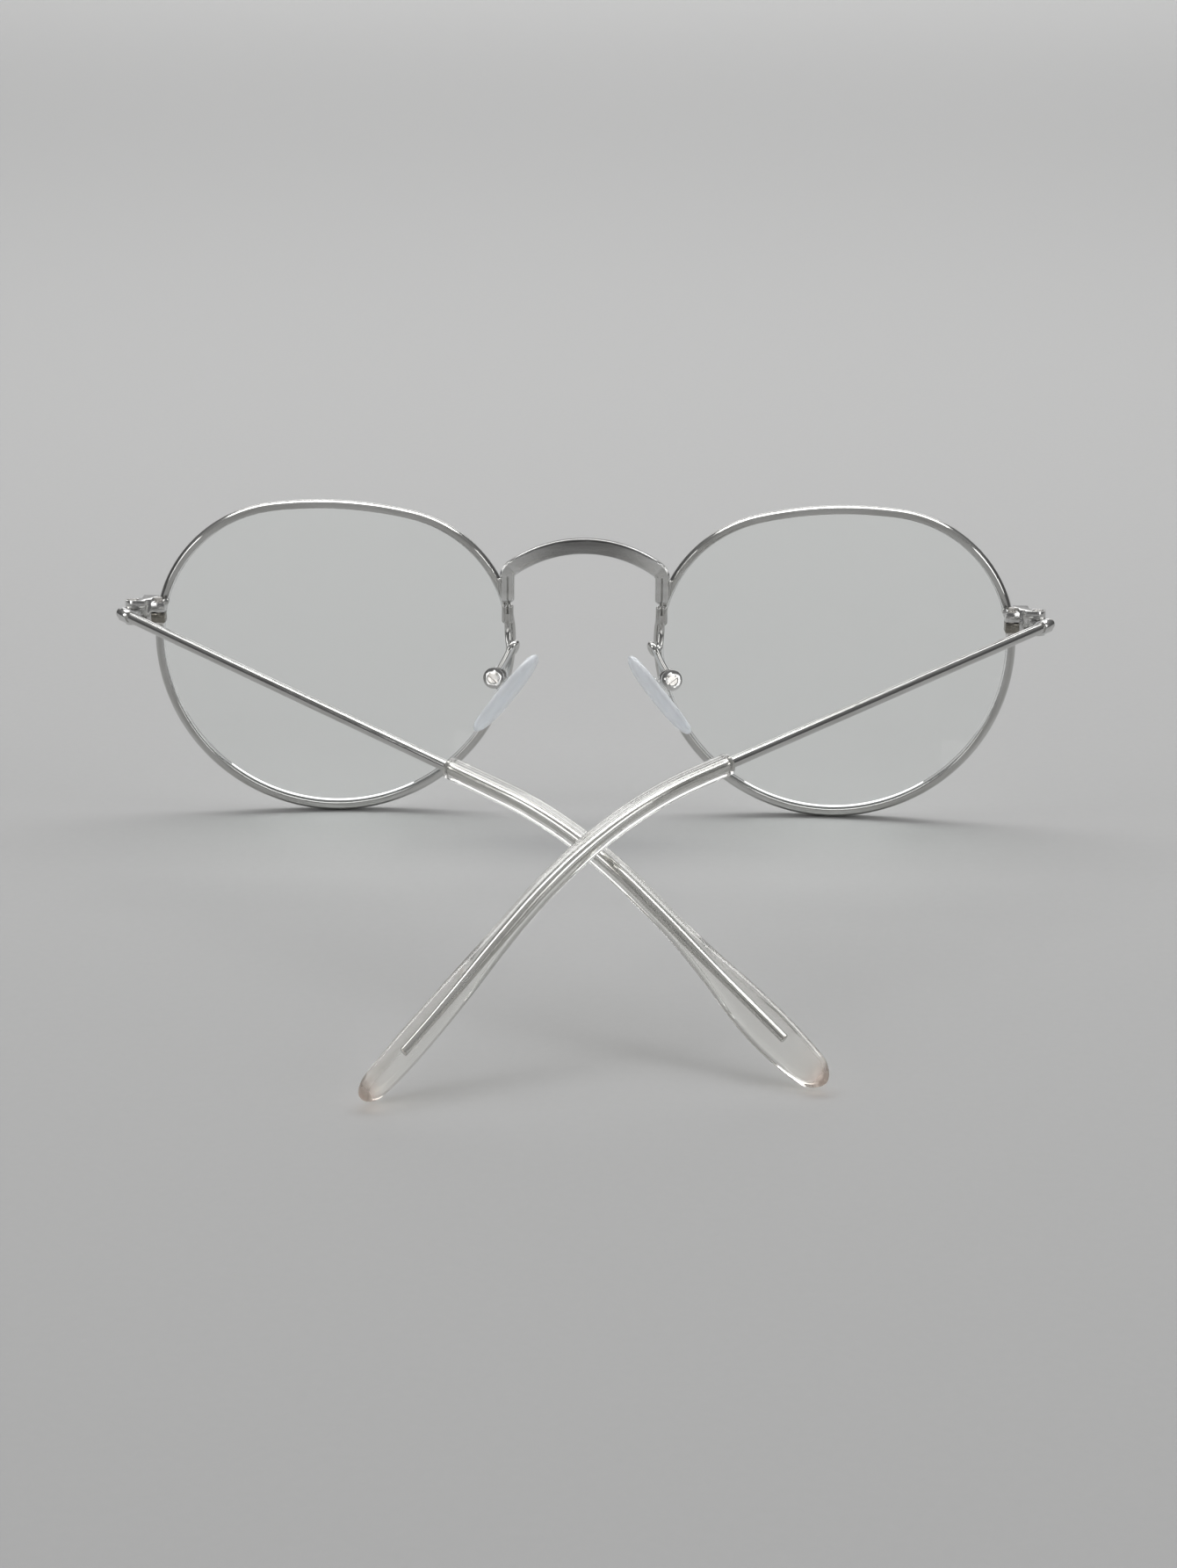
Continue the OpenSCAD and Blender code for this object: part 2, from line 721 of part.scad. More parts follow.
module temple(droop, bend) {
    core_end = arm_l - core_short;
    last = core_end - bend_start(bend) - bend_r * bend * PI / 180;
    color(metal) wire_frame(droop) {
        translate([-butt, 0, 0]) sphere(r = wire_r, $fn = smooth);
        translate([-butt, 0, 0]) rotate([0, 90, 0])
            cylinder(r = wire_r, h = sleeve_at + butt - hinge_gap, $fn = smooth);
        translate([sleeve_at - 1, 0, 0]) rotate([0, 90, 0])
            cylinder(r = core_r - 2 * seam_inset, h = bend_start(bend) - sleeve_at + 2, $fn = smooth);
        translate([bend_start(bend), 0, -bend_r]) rotate([90, 0, 0])
            arc(0, 0, bend_r, 90 - bend, bend) circle(r = core_r, $fn = smooth);
        translate([bend_start(bend), 0, -bend_r]) rotate([0, bend, 0]) translate([-1, 0, bend_r])
            rotate([0, 90, 0]) cylinder(r = core_r - 2 * seam_inset, h = last + 1, $fn = smooth);
    }
}

module temple_tip(droop, bend, roll) {
    outer = [
        for (q = tip_stations)
            each tip_ring(sleeve_at + q, bend, roll * widen(q), half_w(q), half_t(q), paddle_drop * widen(q))
    ];
    inner = [for (q = bore_stations) each tip_ring(sleeve_at + q, bend, 0, bore_r, bore_r, 0)];
    n = tip_sides;
    outer_rings = len(tip_stations);
    inner_rings = len(bore_stations);
    outer_end = (outer_rings - 1) * n;
    inner_from = outer_rings * n;
    inner_end = inner_from + (inner_rings - 1) * n;
    faces = concat(
        ring_faces(outer_rings, n, 0, false),
        ring_faces(inner_rings, n, inner_from, true),
        [for (i = [1:n - 2]) [outer_end, outer_end + i + 1, outer_end + i]],
        [for (i = [1:n - 2]) [inner_end, inner_end + i, inner_end + i + 1]],
        [for (i = [0:n - 1]) [i, (i + 1) % n, inner_from + i]],
        [for (i = [0:n - 1]) [inner_from + i, (i + 1) % n, inner_from + (i + 1) % n]]
    );
    color(clear_plastic) wire_frame(droop)
        polyhedron(points = concat(outer, inner), faces = faces, convexity = 6);
}

pad_arm_sides = 12;
pad_arm_steps = 4;

module pad_arm() {
    line = curve(pad_path, pad_arm_steps);
    rings = len(line);
    n = pad_arm_sides;
    points = [
        for (k = [0:rings - 1])
            let (
                along = direction(line, k),
                across = unit(cross(along, [1, 0.1, 0.1])),
                other = cross(along, across)
            )
            for (i = [0:n - 1])
                line[k] + pad_wire_r * (cos(360 * i / n) * across + sin(360 * i / n) * other)
    ];
    last = (rings - 1) * n;
    color(metal) difference() {
        union() {
            polyhedron(
                points = points,
                faces = concat(
                    ring_faces(rings, n, 0, false),
                    [for (i = [1:n - 2]) [0, i, i + 1]],
                    [for (i = [1:n - 2]) [last, last + i + 1, last + i]]
                ),
                convexity = 6
            );
            for (side = [-1, 1])
                translate([foot_x + side * pad_ridge_x, rear_y(foot_x) + wire_seat, eye_z + pad_ridge_low]) {
                    cylinder(r = pad_ridge_r, h = pad_ridge_l, $fn = smooth);
                    sphere(r = pad_ridge_r, $fn = smooth);
                    translate([0, 0, pad_ridge_l]) sphere(r = pad_ridge_r, $fn = smooth);
                }
        }
        ahead_of_rear();
    }
}

module pad_box() {
    color(metal) pad_frame() translate([0, box_up, box_z]) difference() {
        rotate([0, 90, 0]) cylinder(d = box_d, h = 2 * box_half, center = true, $fn = smooth);
        translate([-tab_w / 2 - hinge_gap, -box_d, -box_r + box_cheek - hinge_gap])
            cube([tab_w + 2 * hinge_gap, 2 * box_d, 2 * box_d]);
        rotate([0, 90, 0])
            cylinder(d = pad_screw_d + 2 * fit_gap, h = 4 * box_half, center = true, $fn = smooth);
    }
}

pad_head_h = 0.45;

module pad_screw() {
    color(dark_metal) pad_frame() translate([-box_half, box_up, box_z]) rotate([0, 90, 0])
        screw(pad_screw_d, 2 * box_half + 0.1, pad_screw_head, pad_head_h);
}

module pad_insert() {
    tab_r = box_r - box_cheek;
    color(clear_plastic) pad_frame() translate([0, box_up, box_z]) difference() {
        union() {
            rotate([0, 90, 0]) cylinder(r = tab_r, h = tab_w, center = true, $fn = smooth);
            translate([-tab_w / 2, -tab_r, 0])
                cube([tab_w, 2 * tab_r, -box_z - pad_back - plate_t / 2]);
            translate([0, 0, -box_z - pad_back - plate_t]) cylinder(r = plate_r, h = plate_t, $fn = smooth);
        }
        rotate([0, 90, 0])
            cylinder(d = pad_screw_d + 2 * fit_gap, h = 2 * tab_w, center = true, $fn = smooth);
    }
}

pad_sides = 28;
// Below 1 the pad's outline is fuller than an ellipse
pad_power = 0.9;
// Rings of the soft pad from its flat back to its crown: share of the outline, height
pad_rings = [
    [0.86, -pad_back],
    [0.95, -pad_back * 0.85],
    [1, -pad_back * 0.35],
    [0.99, pad_back * 0.05],
    [0.93, pad_t * 0.2],
    [0.8, pad_t * 0.36],
    [0.58, pad_t * 0.49],
    [0.3, pad_t * 0.565],
];

module nose_pad() {
    n = pad_sides;
    ring = [
        for (i = [0:n - 1])
            let (a = 360 * i / n)
            [
                pad_w / 2 * sign(cos(a)) * pow(abs(cos(a)), pad_power),
                pad_l / 2 * sign(sin(a)) * pow(abs(sin(a)), pad_power),
            ]
    ];
    points = [for (r = pad_rings, p = ring) [r[0] * p[0], r[0] * p[1], r[1]]];
    top = (len(pad_rings) - 1) * n;
    color(silicone) pad_frame() polyhedron(
        points = concat(points, [[0, 0, pad_t - pad_back]]),
        faces = concat(
            ring_faces(len(pad_rings), n, 0, false),
            [for (i = [1:n - 2]) [0, i, i + 1]],
            [for (i = [0:n - 1]) [top + i, len(points), top + (i + 1) % n]]
        ),
        convexity = 4
    );
}

stand() bridge();
left() rim();  // left_rim
right() rim();  // right_rim
left() lens();  // left_lens
right() lens();  // right_lens
left() rim_lock_upper();  // left_rim_lock_upper
right() rim_lock_upper();  // right_rim_lock_upper
left() rim_lock_lower();  // left_rim_lock_lower
right() rim_lock_lower();  // right_rim_lock_lower
left() closing_screw();  // left_closing_screw
right() closing_screw();  // right_closing_screw
left() endpiece();  // left_endpiece
right() endpiece();  // right_endpiece
left() hinge_screw();  // left_hinge_screw
right() hinge_screw();  // right_hinge_screw
left() pad_arm();  // left_pad_arm
right() pad_arm();  // right_pad_arm
left() pad_box();  // left_pad_box
right() pad_box();  // right_pad_box
left() pad_screw();  // left_pad_screw
right() pad_screw();  // right_pad_screw
left() pad_insert();  // left_pad_insert
right() pad_insert();  // right_pad_insert
left() nose_pad();  // left_nose_pad
right() nose_pad();  // right_nose_pad
left() arm(left_fold) temple(left_droop, left_bend);  // left_temple
right() arm(right_fold) temple(right_droop, right_bend);  // right_temple
left() arm(left_fold) temple_hinge(left_droop);  // left_temple_hinge
right() arm(right_fold) temple_hinge(right_droop);  // right_temple_hinge
left() arm(left_fold) temple_tip(left_droop, left_bend, left_roll);  // left_temple_tip
right() arm(right_fold) temple_tip(right_droop, right_bend, right_roll);  // right_temple_tip
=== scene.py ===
from math import asin, atan2, cos, pi, radians, sin, sqrt, tan

import bmesh
import bpy
from mathutils import Matrix, Vector


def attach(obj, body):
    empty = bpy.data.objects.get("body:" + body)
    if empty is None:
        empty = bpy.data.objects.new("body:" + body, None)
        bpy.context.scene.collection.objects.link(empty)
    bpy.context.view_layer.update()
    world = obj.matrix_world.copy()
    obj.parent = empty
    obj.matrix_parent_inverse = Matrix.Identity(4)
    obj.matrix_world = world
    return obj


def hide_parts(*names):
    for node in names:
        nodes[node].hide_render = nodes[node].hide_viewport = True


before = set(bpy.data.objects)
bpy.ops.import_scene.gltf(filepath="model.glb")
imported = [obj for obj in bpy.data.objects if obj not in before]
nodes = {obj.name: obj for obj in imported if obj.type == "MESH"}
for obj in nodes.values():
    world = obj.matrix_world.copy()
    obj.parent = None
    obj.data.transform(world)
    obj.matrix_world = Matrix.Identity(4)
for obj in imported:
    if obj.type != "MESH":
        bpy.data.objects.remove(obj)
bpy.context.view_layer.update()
mm = 0.001


# Table, lamps and camera
#
# The glasses lie on a plain pale table that runs up into a pale wall far beyond them. Wide
# soft lamps hang over them and over the far table, and weaker ones stand beyond them, at
# their sides and behind the camera, which looks down from behind the crossed arms.

table_colour = (0.42, 0.42, 0.418)
table_near, table_far, table_half, wall_curve_r, wall_top = 1.6, -2.2, 2.4, 0.8, 2.6
room_dim, room_light = (0.11, 0.11, 0.112, 1), (0.40, 0.40, 0.40, 1)


def table_sheet():
    """Flat table with a round bend at its far side, where it becomes the wall."""
    bend = [a * pi / 24 for a in range(1, 13)]
    profile = [(table_near, 0.0), (table_far, 0.0)]
    profile += [(table_far - wall_curve_r * sin(a), wall_curve_r - wall_curve_r * cos(a))
                for a in bend]
    profile.append((table_far - wall_curve_r, wall_top))
    verts = [(x, y, z) for y, z in profile for x in (table_half, -table_half)]
    faces = [(2 * i, 2 * i + 1, 2 * i + 3, 2 * i + 2) for i in range(len(profile) - 1)]
    mesh = bpy.data.meshes.new("table")
    mesh.from_pydata(verts, [], faces)
    mesh.shade_smooth()
    sheet = bpy.data.objects.new("table", mesh)
    bpy.context.scene.collection.objects.link(sheet)
    return sheet


def put(tree, kind, inputs=(), **settings):
    """Adds a node; each input is a plain value or the output that feeds it."""
    made = tree.nodes.new(kind)
    for key, value in settings.items():
        setattr(made, key, value)
    for key, value in dict(inputs).items():
        if isinstance(value, bpy.types.NodeSocket):
            tree.links.new(value, made.inputs[key])
        else:
            made.inputs[key].default_value = value
    return made


def new_finish(name):
    """A material with its node tree and its Principled shader."""
    material = bpy.data.materials.new(name)
    material.use_nodes = True
    return material, material.node_tree, material.node_tree.nodes["Principled BSDF"]


def table_board():
    """Even grey with a fine grain that varies it by two hundredths."""
    material, tree, surface = new_finish("table_board")
    surface.inputs["Roughness"].default_value = 0.75
    place = put(tree, "ShaderNodeTexCoord")
    grain = put(tree, "ShaderNodeTexNoise", {
        "Vector": place.outputs["Object"], "Scale": 900, "Detail": 3})
    shade = put(tree, "ShaderNodeMix", {
        "Factor": grain.outputs["Fac"],
        "A": (*[0.98 * c for c in table_colour], 1),
        "B": (*[1.02 * c for c in table_colour], 1),
    }, data_type="RGBA")
    bump = put(tree, "ShaderNodeBump", {
        "Height": grain.outputs["Fac"], "Strength": 0.08, "Distance": 0.0002})
    tree.links.new(shade.outputs["Result"], surface.inputs["Base Color"])
    tree.links.new(bump.outputs["Normal"], surface.inputs["Normal"])
    return material


table = table_sheet()
table.data.materials.append(table_board())


def soft_lamp(name, place, aim, width, depth, power):
    """Oblong lamp at a place, turned to what it lights."""
    light = bpy.data.lights.new(name, "AREA")
    light.shape = "RECTANGLE"
    light.size = width
    light.size_y = depth
    light.energy = power
    lamp = bpy.data.objects.new(name, light)
    bpy.context.scene.collection.objects.link(lamp)
    lamp.location = place
    lamp.rotation_euler = (Vector(aim) - Vector(place)).to_track_quat("-Z", "Y").to_euler()


soft_lamp("overhead", (0.0, -0.38, 0.85), (0, -0.05, 0), 1.3, 0.34, 6.4)
soft_lamp("far_overhead", (0.0, -1.6, 1.6), (0, -2.6, 0.25), 2.4, 0.8, 31)
soft_lamp("rear_glow", (0.0, -1.9, 0.75), (0, 0, 0), 1.6, 0.5, 3.6)
soft_lamp("left_fill", (0.64, 1.30, 0.24), (0, 0, 0.03), 0.5, 0.4, 1.5)
soft_lamp("right_fill", (-0.64, 1.30, 0.24), (0, 0, 0.03), 0.5, 0.4, 1.5)
soft_lamp("left_side", (1.0, 0.2, 0.5), (0, 0, 0.02), 0.35, 0.5, 1.5)
soft_lamp("right_side", (-1.0, 0.2, 0.5), (0, 0, 0.02), 0.35, 0.5, 1.5)


def room():
    """The room is dim near the level of the table and lighter overhead."""
    world = bpy.data.worlds.new("room")
    world.use_nodes = True
    tree = world.node_tree
    place = put(tree, "ShaderNodeTexCoord")
    split = put(tree, "ShaderNodeSeparateXYZ", {"Vector": place.outputs["Generated"]})
    ramp = put(tree, "ShaderNodeValToRGB", {"Fac": split.outputs["Z"]})
    low, high = ramp.color_ramp.elements
    low.position, low.color = 0.35, room_dim
    high.position, high.color = 0.9, room_light
    tree.links.new(ramp.outputs["Color"], tree.nodes["Background"].inputs["Color"])
    bpy.context.scene.world = world


room()
bpy.context.scene.view_settings.view_transform = "Standard"

# Fitted to the photo until the outlines of the rims, hinges and arms fell together
camera_place = Vector((-11.8, 389.63, 149.27)) * mm
camera_yaw, camera_pitch, camera_roll = radians(1.446), radians(-18.213), radians(0.315)
camera_lens = 73.51


def photo_camera():
    """Camera that would look level along -Y, turned by its yaw, pitch and roll."""
    ahead = Vector((sin(camera_yaw) * cos(camera_pitch), -cos(camera_yaw) * cos(camera_pitch),
                    sin(camera_pitch)))
    level = ahead.cross(Vector((0, 0, 1))).normalized()
    upright = level.cross(ahead)
    side = level * cos(camera_roll) + upright * sin(camera_roll)
    up = upright * cos(camera_roll) - level * sin(camera_roll)
    turn = Matrix((side, up, -ahead)).transposed().to_4x4()
    camera = bpy.data.objects.new("camera", bpy.data.cameras.new("camera"))
    camera.data.sensor_width = 36
    camera.data.lens = camera_lens
    camera.data.clip_start = 0.01
    camera.matrix_world = Matrix.Translation(camera_place) @ turn
    bpy.context.scene.collection.objects.link(camera)
    bpy.context.scene.camera = camera


photo_camera()


# Rims
#
# Each rim is one length of grooved nickel silver wire, bent round the lens and plated.
# Its rounded face looks outwards and its two lips hold the bevel of the lens. The cut
# between its two ends lies at the outer side, between the closing blocks.

lens_w, lens_top, top_flatness = 50.0, 18.9, 0.6
rim_gap, front_tilt, face_form, eye_turn = 19.75, 3.5, 3.2, 3.3
rim_depth, rim_edge, rim_lip, rim_round, rim_cut, groove_w = 2.0, 0.8, 0.35, 1.3, 0.2, 0.9
rim_ease = 0.07
hinge_rise = 3.95
row_middle, row_lift = (-0.0494089, 50.6802), 0.00242476

lens_r = lens_w / 2
shoulder_r = lens_top - top_flatness
shoulder_x = lens_r - shoulder_r
top_r = (shoulder_x ** 2 + lens_top ** 2 - shoulder_r ** 2) / (2 * top_flatness)
top_y = lens_top - top_r
shoulder_sweep = atan2(-top_y, shoulder_x)
rim_r = lens_r + rim_edge
eye_x = rim_gap / 2 + rim_r * cos(radians(face_form))
eye_z = rim_r


def shift(x, y, z):
    return Matrix.Translation((x, y, z))


def turn(angle, axis):
    return Matrix.Rotation(radians(angle), 4, axis)


# Sizes are in millimetres in the upright frame of the front, which these two place.
upright_front = (Matrix.Scale(mm, 4) @ shift(-row_middle[0], -row_middle[1], row_lift)
                 @ turn(front_tilt, "X"))
sides = {"left": upright_front, "right": upright_front @ Matrix.Scale(-1, 4, (1, 0, 0))}
eye_frame = (shift(eye_x, 0, eye_z) @ turn(face_form, "Z") @ turn(90, "X")
             @ turn(eye_turn, "Z"))


def arc(x, y, r, start, sweep, steps):
    """Points of an arc round x, y, without its last one."""
    return [(x + r * cos(start + sweep * i / steps), y + r * sin(start + sweep * i / steps))
            for i in range(steps)]


def eye_outline(out, start=0.0):
    """Eye shape, larger by out all round, from an angle on the outer shoulder."""
    line = arc(shoulder_x, 0, shoulder_r + out, start, shoulder_sweep - start, 24)
    line += arc(0, top_y, top_r + out, shoulder_sweep, pi - 2 * shoulder_sweep, 16)
    line += arc(-shoulder_x, 0, shoulder_r + out, pi - shoulder_sweep, shoulder_sweep, 26)
    line += arc(0, 0, lens_r + out, pi, pi, 96)
    if start:
        line += arc(shoulder_x, 0, shoulder_r + out, 0, start, 4)
    return line


def new_mesh(name, points, edges=(), faces=()):
    mesh = bpy.data.meshes.new(name)
    mesh.from_pydata([tuple(p) for p in points], edges, faces)
    return mesh


def chain(count, closed=False):
    """Edges that join a row of points."""
    return [(i, (i + 1) % count) for i in range(count if closed else count - 1)]


def new_object(name, mesh):
    made = bpy.data.objects.new(name, mesh)
    bpy.context.scene.collection.objects.link(made)
    return made


def eased(corners, radius, steps=3):
    """Closed outline with each corner of more than 60 degrees rounded a little."""
    line = []
    for i, corner in enumerate(corners):
        here = Vector(corner)
        back = Vector(corners[i - 1]) - here
        ahead = Vector(corners[(i + 1) % len(corners)]) - here
        if back.angle(-ahead) < radians(60):
            line.append(here)
            continue
        start, end = here + back.normalized() * radius, here + ahead.normalized() * radius
        for k in range(steps + 1):
            t = k / steps
            line.append(start * (1 - t) ** 2 + here * 2 * t * (1 - t) + end * t ** 2)
    return [(p.x, p.y, 0) for p in line]


def rim_section():
    """Section of the rim's wire: its rounded face, two lips and the groove between them."""
    centre = rim_edge - rim_round
    half = rim_depth / 2
    reach = asin(half / rim_round)
    round_face = [(centre + rim_round * cos(a), rim_round * sin(a))
                  for a in [reach * (i / 9 - 1) for i in range(19)]]
    corners = [(0, -groove_w / 2), (-rim_lip, -groove_w / 2), (-rim_lip, -half)] + round_face
    corners += [(-rim_lip, half), (-rim_lip, groove_w / 2), (0, groove_w / 2)]
    return eased(corners, rim_ease)


def new_tree(name, inputs):
    """Geometry tree with its named inputs, and the identifiers that set them."""
    tree = bpy.data.node_groups.new(name, "GeometryNodeTree")
    tree.interface.new_socket("Geometry", in_out="INPUT", socket_type="NodeSocketGeometry")
    keys = {}
    for label, kind in inputs.items():
        made = tree.interface.new_socket(label, in_out="INPUT", socket_type="NodeSocket" + kind)
        keys[label] = made.identifier
    tree.interface.new_socket("Geometry", in_out="OUTPUT", socket_type="NodeSocketGeometry")
    given = tree.nodes.new("NodeGroupInput").outputs
    return tree, keys, given


def end_tree(tree, shape, material):
    """Every tree ends in Realize Instances and Set Material."""
    real = put(tree, "GeometryNodeRealizeInstances", {"Geometry": shape})
    dressed = put(tree, "GeometryNodeSetMaterial", {
        "Geometry": real.outputs["Geometry"], "Material": material})
    put(tree, "NodeGroupOutput", {"Geometry": dressed.outputs["Geometry"]})


def stored(tree, shape, name, value, data_type="FLOAT"):
    """Keeps a value on each point of a shape, for its material or a later step."""
    kept = put(tree, "GeometryNodeStoreNamedAttribute", {"Geometry": shape, "Name": name},
               data_type=data_type, domain="POINT")
    tree.links.new(value, kept.inputs["Value"])
    return kept.outputs["Geometry"]


def grooved_wire():
    """A section drawn along a line, with a cut between the line's two ends."""
    tree, keys, given = new_tree("grooved_wire", {
        "Section": "Object", "Cut": "Float", "Material": "Material"})
    line = put(tree, "GeometryNodeMeshToCurve", {"Mesh": given["Geometry"]})
    whole = put(tree, "GeometryNodeCurveLength", {"Curve": line.outputs["Curve"]})
    half = put(tree, "ShaderNodeMath", {0: given["Cut"], 1: 0.5}, operation="MULTIPLY")
    last = put(tree, "ShaderNodeMath", {0: whole.outputs["Length"], 1: half.outputs[0]},
               operation="SUBTRACT")
    cut = put(tree, "GeometryNodeTrimCurve", {"Curve": line.outputs["Curve"]}, mode="LENGTH")
    spans = [s for s in cut.inputs if s.enabled and s.name in ("Start", "End")]
    tree.links.new(half.outputs[0], spans[0])
    tree.links.new(last.outputs[0], spans[1])
    level = put(tree, "GeometryNodeSetCurveNormal", {"Curve": cut.outputs["Curve"]}, mode="Z_UP")
    station = put(tree, "GeometryNodeSplineParameter")
    path = stored(tree, level.outputs["Curve"], "along", station.outputs["Length"])
    drawn = put(tree, "GeometryNodeObjectInfo", {"Object": given["Section"]})
    outline = put(tree, "GeometryNodeMeshToCurve", {"Mesh": drawn.outputs["Geometry"]})
    around = put(tree, "GeometryNodeSplineParameter")
    ring = stored(tree, outline.outputs["Curve"], "around", around.outputs["Factor"])
    body = put(tree, "GeometryNodeCurveToMesh", {
        "Curve": path, "Profile Curve": ring, "Fill Caps": True})
    end_tree(tree, body.outputs["Mesh"], given["Material"])
    return tree, keys


def grown(name, base, tree, keys, **inputs):
    """Runs a tree on a mesh and gives the result as a plain mesh."""
    holder = new_object(name, base)
    maker = holder.modifiers.new("make", "NODES")
    maker.node_group = tree
    for label, value in inputs.items():
        maker[keys[label.replace("_", " ")]] = value
    bpy.context.view_layer.update()
    depsgraph = bpy.context.evaluated_depsgraph_get()
    mesh = bpy.data.meshes.new_from_object(
        holder.evaluated_get(depsgraph), preserve_all_data_layers=True, depsgraph=depsgraph)
    holder.modifiers.remove(maker)
    bpy.data.objects.remove(holder)
    mesh.name = name
    return mesh


def set_down(name, mesh, place, body, slot, *stands_for, crease=32):
    """Puts a finished mesh in its place as a piece of the glasses."""
    mesh.transform(place)
    if place.determinant() < 0:
        mesh.flip_normals()
    mesh.shade_smooth()
    mesh.set_sharp_from_angle(angle=radians(crease))
    piece = new_object(name, mesh)
    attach(piece, body)
    if stands_for:
        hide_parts(*stands_for)


def new_group(name, inputs, outputs):
    """Shader node group for a surface effect, with its named inputs and outputs."""
    group = bpy.data.node_groups.new(name, "ShaderNodeTree")
    for label, kind, value in inputs:
        made = group.interface.new_socket(label, in_out="INPUT", socket_type="NodeSocket" + kind)
        if value is not None:
            made.default_value = value
    for label, kind in outputs:
        group.interface.new_socket(label, in_out="OUTPUT", socket_type="NodeSocket" + kind)
    return group, group.nodes.new("NodeGroupInput").outputs


def polish_marks_group():
    """Hairlines and softer patches that a polishing wheel leaves."""
    group, given = new_group("polish_marks", [
        ("Vector", "Vector", None), ("Scale", "Float", 1.0),
        ("Smoothest", "Float", 0.06), ("Dullest", "Float", 0.18),
    ], [("Roughness", "Float"), ("Height", "Float")])
    patches = put(group, "ShaderNodeTexNoise", {
        "Vector": given["Vector"], "Scale": given["Scale"], "Detail": 4.0, "Roughness": 0.6})
    rough = put(group, "ShaderNodeMapRange", {
        "Value": patches.outputs["Fac"], "From Min": 0.35, "From Max": 0.68,
        "To Min": given["Smoothest"], "To Max": given["Dullest"]})
    finer = put(group, "ShaderNodeMath", {0: given["Scale"], 1: 6.0}, operation="MULTIPLY")
    lines = put(group, "ShaderNodeTexNoise", {
        "Vector": given["Vector"], "Scale": finer.outputs[0], "Detail": 3.0, "Distortion": 1.2})
    put(group, "NodeGroupOutput", {
        "Roughness": rough.outputs["Result"], "Height": lines.outputs["Fac"]})
    return group


def plating_group():
    """Bright plating that is a little duller and warmer in patches."""
    group, given = new_group("plating", [
        ("Vector", "Vector", None), ("Scale", "Float", 1.0),
        ("Bright", "Color", (0.86, 0.86, 0.855, 1)), ("Dull", "Color", (0.7, 0.69, 0.67, 1)),
    ], [("Color", "Color")])
    cloud = put(group, "ShaderNodeTexNoise", {
        "Vector": given["Vector"], "Scale": given["Scale"], "Detail": 5.0, "Roughness": 0.65})
    share = put(group, "ShaderNodeMapRange", {
        "Value": cloud.outputs["Fac"], "From Min": 0.42, "From Max": 0.75})
    mixed = put(group, "ShaderNodeMix", {
        "Factor": share.outputs["Result"], "A": given["Bright"], "B": given["Dull"]},
        data_type="RGBA")
    put(group, "NodeGroupOutput", {"Color": mixed.outputs["Result"]})
    return group


polish_marks = polish_marks_group()
plating = plating_group()


def use(tree, group, **inputs):
    """Places a shader group in a material, with its own values."""
    named = {label.replace("_", " "): value for label, value in inputs.items()}
    return put(tree, "ShaderNodeGroup", named, node_tree=group).outputs


def metal_finish(name, vector, marks, cloud, smoothest, dullest, bright, dull, bump):
    """Plated metal. Vector is what its pattern follows, marks and cloud are its scales."""
    material, tree, surface = new_finish(name)
    follows = vector(tree)
    coat = use(tree, plating, Vector=follows, Scale=cloud, Bright=(*bright, 1), Dull=(*dull, 1))
    wear = use(tree, polish_marks, Vector=follows, Scale=marks, Smoothest=smoothest,
               Dullest=dullest)
    raised = put(tree, "ShaderNodeBump", {
        "Height": wear["Height"], "Strength": bump, "Distance": 0.00002})
    surface.inputs["Metallic"].default_value = 1
    tree.links.new(coat["Color"], surface.inputs["Base Color"])
    tree.links.new(wear["Roughness"], surface.inputs["Roughness"])
    tree.links.new(raised.outputs["Normal"], surface.inputs["Normal"])
    return material


def along_the_wire(tree):
    """Marks run with the wire, as the drawing die and the wheel leave them."""
    along = put(tree, "ShaderNodeAttribute", attribute_name="along")
    around = put(tree, "ShaderNodeAttribute", attribute_name="around")
    both = put(tree, "ShaderNodeCombineXYZ", {
        "X": along.outputs["Fac"], "Y": around.outputs["Fac"]})
    long = put(tree, "ShaderNodeVectorMath", {0: both.outputs[0], 1: (0.12, 9.0, 1.0)},
               operation="MULTIPLY")
    return long.outputs[0]


plated_wire = metal_finish(
    "plated_wire", along_the_wire, marks=2.0, cloud=0.6, smoothest=0.07, dullest=0.17,
    bright=(0.64, 0.64, 0.625), dull=(0.42, 0.415, 0.395), bump=0.1)


def make_rims():
    corners = rim_section()
    section = new_object("rim_section", new_mesh("rim_section", corners,
                                                 chain(len(corners), closed=True)))
    tree, keys = grooved_wire()
    lean = radians(eye_turn)
    start = asin((hinge_rise - shoulder_x * sin(lean)) / shoulder_r) - lean
    line = eye_outline(0, start)
    line.append((shoulder_x + shoulder_r * cos(start), shoulder_r * sin(start)))
    for side, place in sides.items():
        base = new_mesh("line", [(x, y, 0) for x, y in line], chain(len(line)))
        mesh = grown(side + "_rim_wire", base, tree, keys, Section=section, Cut=rim_cut,
                     Material=plated_wire)
        set_down(side + "_rim_wire", mesh, place @ eye_frame, "front", "silver", side + "_rim")
    bpy.data.objects.remove(section)


make_rims()


# Lenses
#
# Clear lenses of optical plastic, ground to a shallow curve and edged with a bevel that
# sits in the rim's groove. They are clean but for faint smears.

lens_t, lens_curve, bevel_t, lens_fit = 1.6, 110.0, 0.8, 0.05
bevel_foot, bevel_crest = 0.52 * bevel_t, 0.22 * bevel_t
lens_inset = rim_lip + 2 * lens_fit
lens_mid = (lens_top - lens_r) / 2
lens_apex = (lens_curve - sqrt(lens_curve ** 2 - lens_r ** 2)) + lens_t + lens_fit - rim_depth / 2


